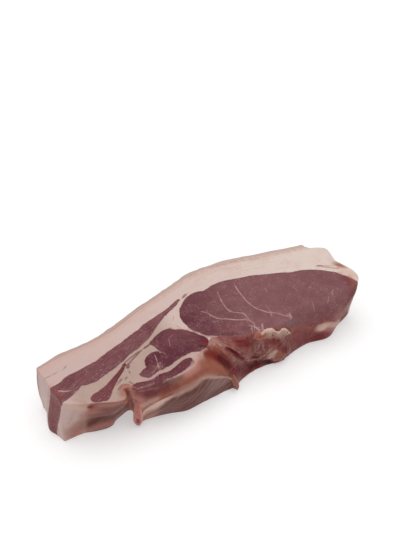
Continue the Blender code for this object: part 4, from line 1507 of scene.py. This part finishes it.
@dataclass(frozen=True)
class CrustFinish:
    """Ragged fat: cream on top, pinker towards the eye's middle, tan where it thins out."""

    cream: Colour = (216, 184, 168)
    flesh: Colour = (186, 146, 133)
    deep: Colour = (152, 104, 94)
    orange: Colour = (166, 100, 86)

    def material(self) -> bpy.types.Material:
        """Writes the material on x and the distance from the upper edge."""
        r = Recipe("fat_crust")
        x, _, below = r.carried("lie")
        soft, fine = r.noise(2.0), r.noise(0.6)
        reach = below + soft.swing(3.0)
        low = reach.span(0.6, 2.0, 0.25, 1).sum("MAXIMUM", x.span(24, 20, 0, 0.95))
        colour = r.layers(
            self.cream, (reach.span(0.9, 3.4), self.flesh), (reach.span(3.6, 8.0), self.deep),
            ((x + soft.swing(5.0)).span(27, 23) * low, self.orange),
            (fine.span(0.56, 0.7, 0, 0.35), self.orange),
        )
        return r.finish(colour, 0.45, soft + fine * 0.5, 0.5, Specular_IOR_Level=0.25)


@dataclass(frozen=True)
class LobeFinish:
    """A wet pink lobe, redder in its hollow and paler along its rims."""

    pink: Colour = (192, 122, 114)
    pale: Colour = (210, 156, 146)
    red: Colour = (150, 74, 68)

    def material(self) -> bpy.types.Material:
        """Writes the material on the place across the lobe and its hollow."""
        r = Recipe("lobe")
        side, _, dent = r.carried("lobe")
        soft, fine = r.noise(1.6), r.noise(0.5, 2)
        colour = r.layers(
            self.pink, ((side.sum("ABSOLUTE") + soft.swing(0.6)).span(0.45, 0.95), self.pale),
            (dent.span(0.15, 0.6), self.red), (soft.span(0.5, 0.75, 0, 0.5), self.red),
        )
        return r.finish(colour, 0.4, soft + fine * 0.5, 0.4, Specular_IOR_Level=0.25)


@dataclass
class Studio:
    """A pale table under a large soft light, seen from the front, above and a little to the right."""

    camera_at: tuple[float, float, float] = (-0.20547, -0.31986, 0.39796)
    camera_turn: tuple[float, float, float] = (49.0, 0.0, -33.0)
    lens: float = 60.0
    sun: float = 2.4
    sun_spread: float = 70.0
    sky: float = 0.25
    table_reach: float = 6000.0

    def build(self) -> None:
        """Sets the table, the lights and the camera."""
        corners = np.array([(-1, -1), (1, -1), (1, 1), (-1, 1)]) * self.table_reach
        floor = make_mesh("table", np.column_stack([corners, np.full(4, -0.05)]), np.array([[0, 1, 2, 3]]))
        floor.data.materials.append(self.table_top())
        sun = bpy.data.lights.new("window", "SUN")
        sun.energy = self.sun
        sun.angle = np.radians(self.sun_spread)
        lamp = bpy.data.objects.new("window", sun)
        bpy.context.scene.collection.objects.link(lamp)
        world = bpy.data.worlds.new("room")
        bpy.context.scene.world = world
        world.use_nodes = True
        tree = world.node_tree
        background = tree.nodes["Background"]
        path = tree.nodes.new("ShaderNodeLightPath").outputs["Is Camera Ray"]
        strength = tree.nodes.new("ShaderNodeMapRange")
        tree.links.new(path, strength.inputs["Value"])
        strength.inputs["To Min"].default_value = self.sky
        strength.inputs["To Max"].default_value = 1.0
        tree.links.new(strength.outputs[0], background.inputs["Strength"])
        background.inputs["Color"].default_value = (1, 1, 1, 1)
        view = bpy.context.scene.view_settings
        view.view_transform, view.look = "Standard", "None"
        camera = bpy.data.cameras.new("camera")
        camera.lens, camera.sensor_width, camera.clip_end = self.lens, 36.0, 30.0
        eye = bpy.data.objects.new("camera", camera)
        eye.location = self.camera_at
        eye.rotation_euler = np.radians(self.camera_turn)
        bpy.context.scene.collection.objects.link(eye)
        bpy.context.scene.camera = eye

    def table_top(self) -> bpy.types.Material:
        """Near-white matt paint that glows a little, so that it stays white under the soft light."""
        r = Recipe("table_top")
        r.connect(r.tree.nodes["Principled BSDF"], {
            "Base Color": (0.6, 0.6, 0.6, 1), "Roughness": 1.0, "Specular IOR Level": 0.0,
            "Emission Color": (1, 1, 1, 1), "Emission Strength": 0.42,
        })
        return r.material


def main() -> None:
    """Builds the slice and its studio."""
    logging.basicConfig(level=logging.INFO, format="%(name)s: %(message)s")
    FleshBlock().build(FleshFinish())
    Rind().build(RindFinish())
    RIB_LINING.build(LiningFinish())
    SAWN_MEAT.build(TornFinish())
    CRUST.build(CrustFinish())
    FLAP.build(LobeFinish())
    TAG.build(LobeFinish((156, 100, 86), (172, 120, 104), (112, 56, 52)))
    Studio().build()


if __name__ == "__main__":
    main()
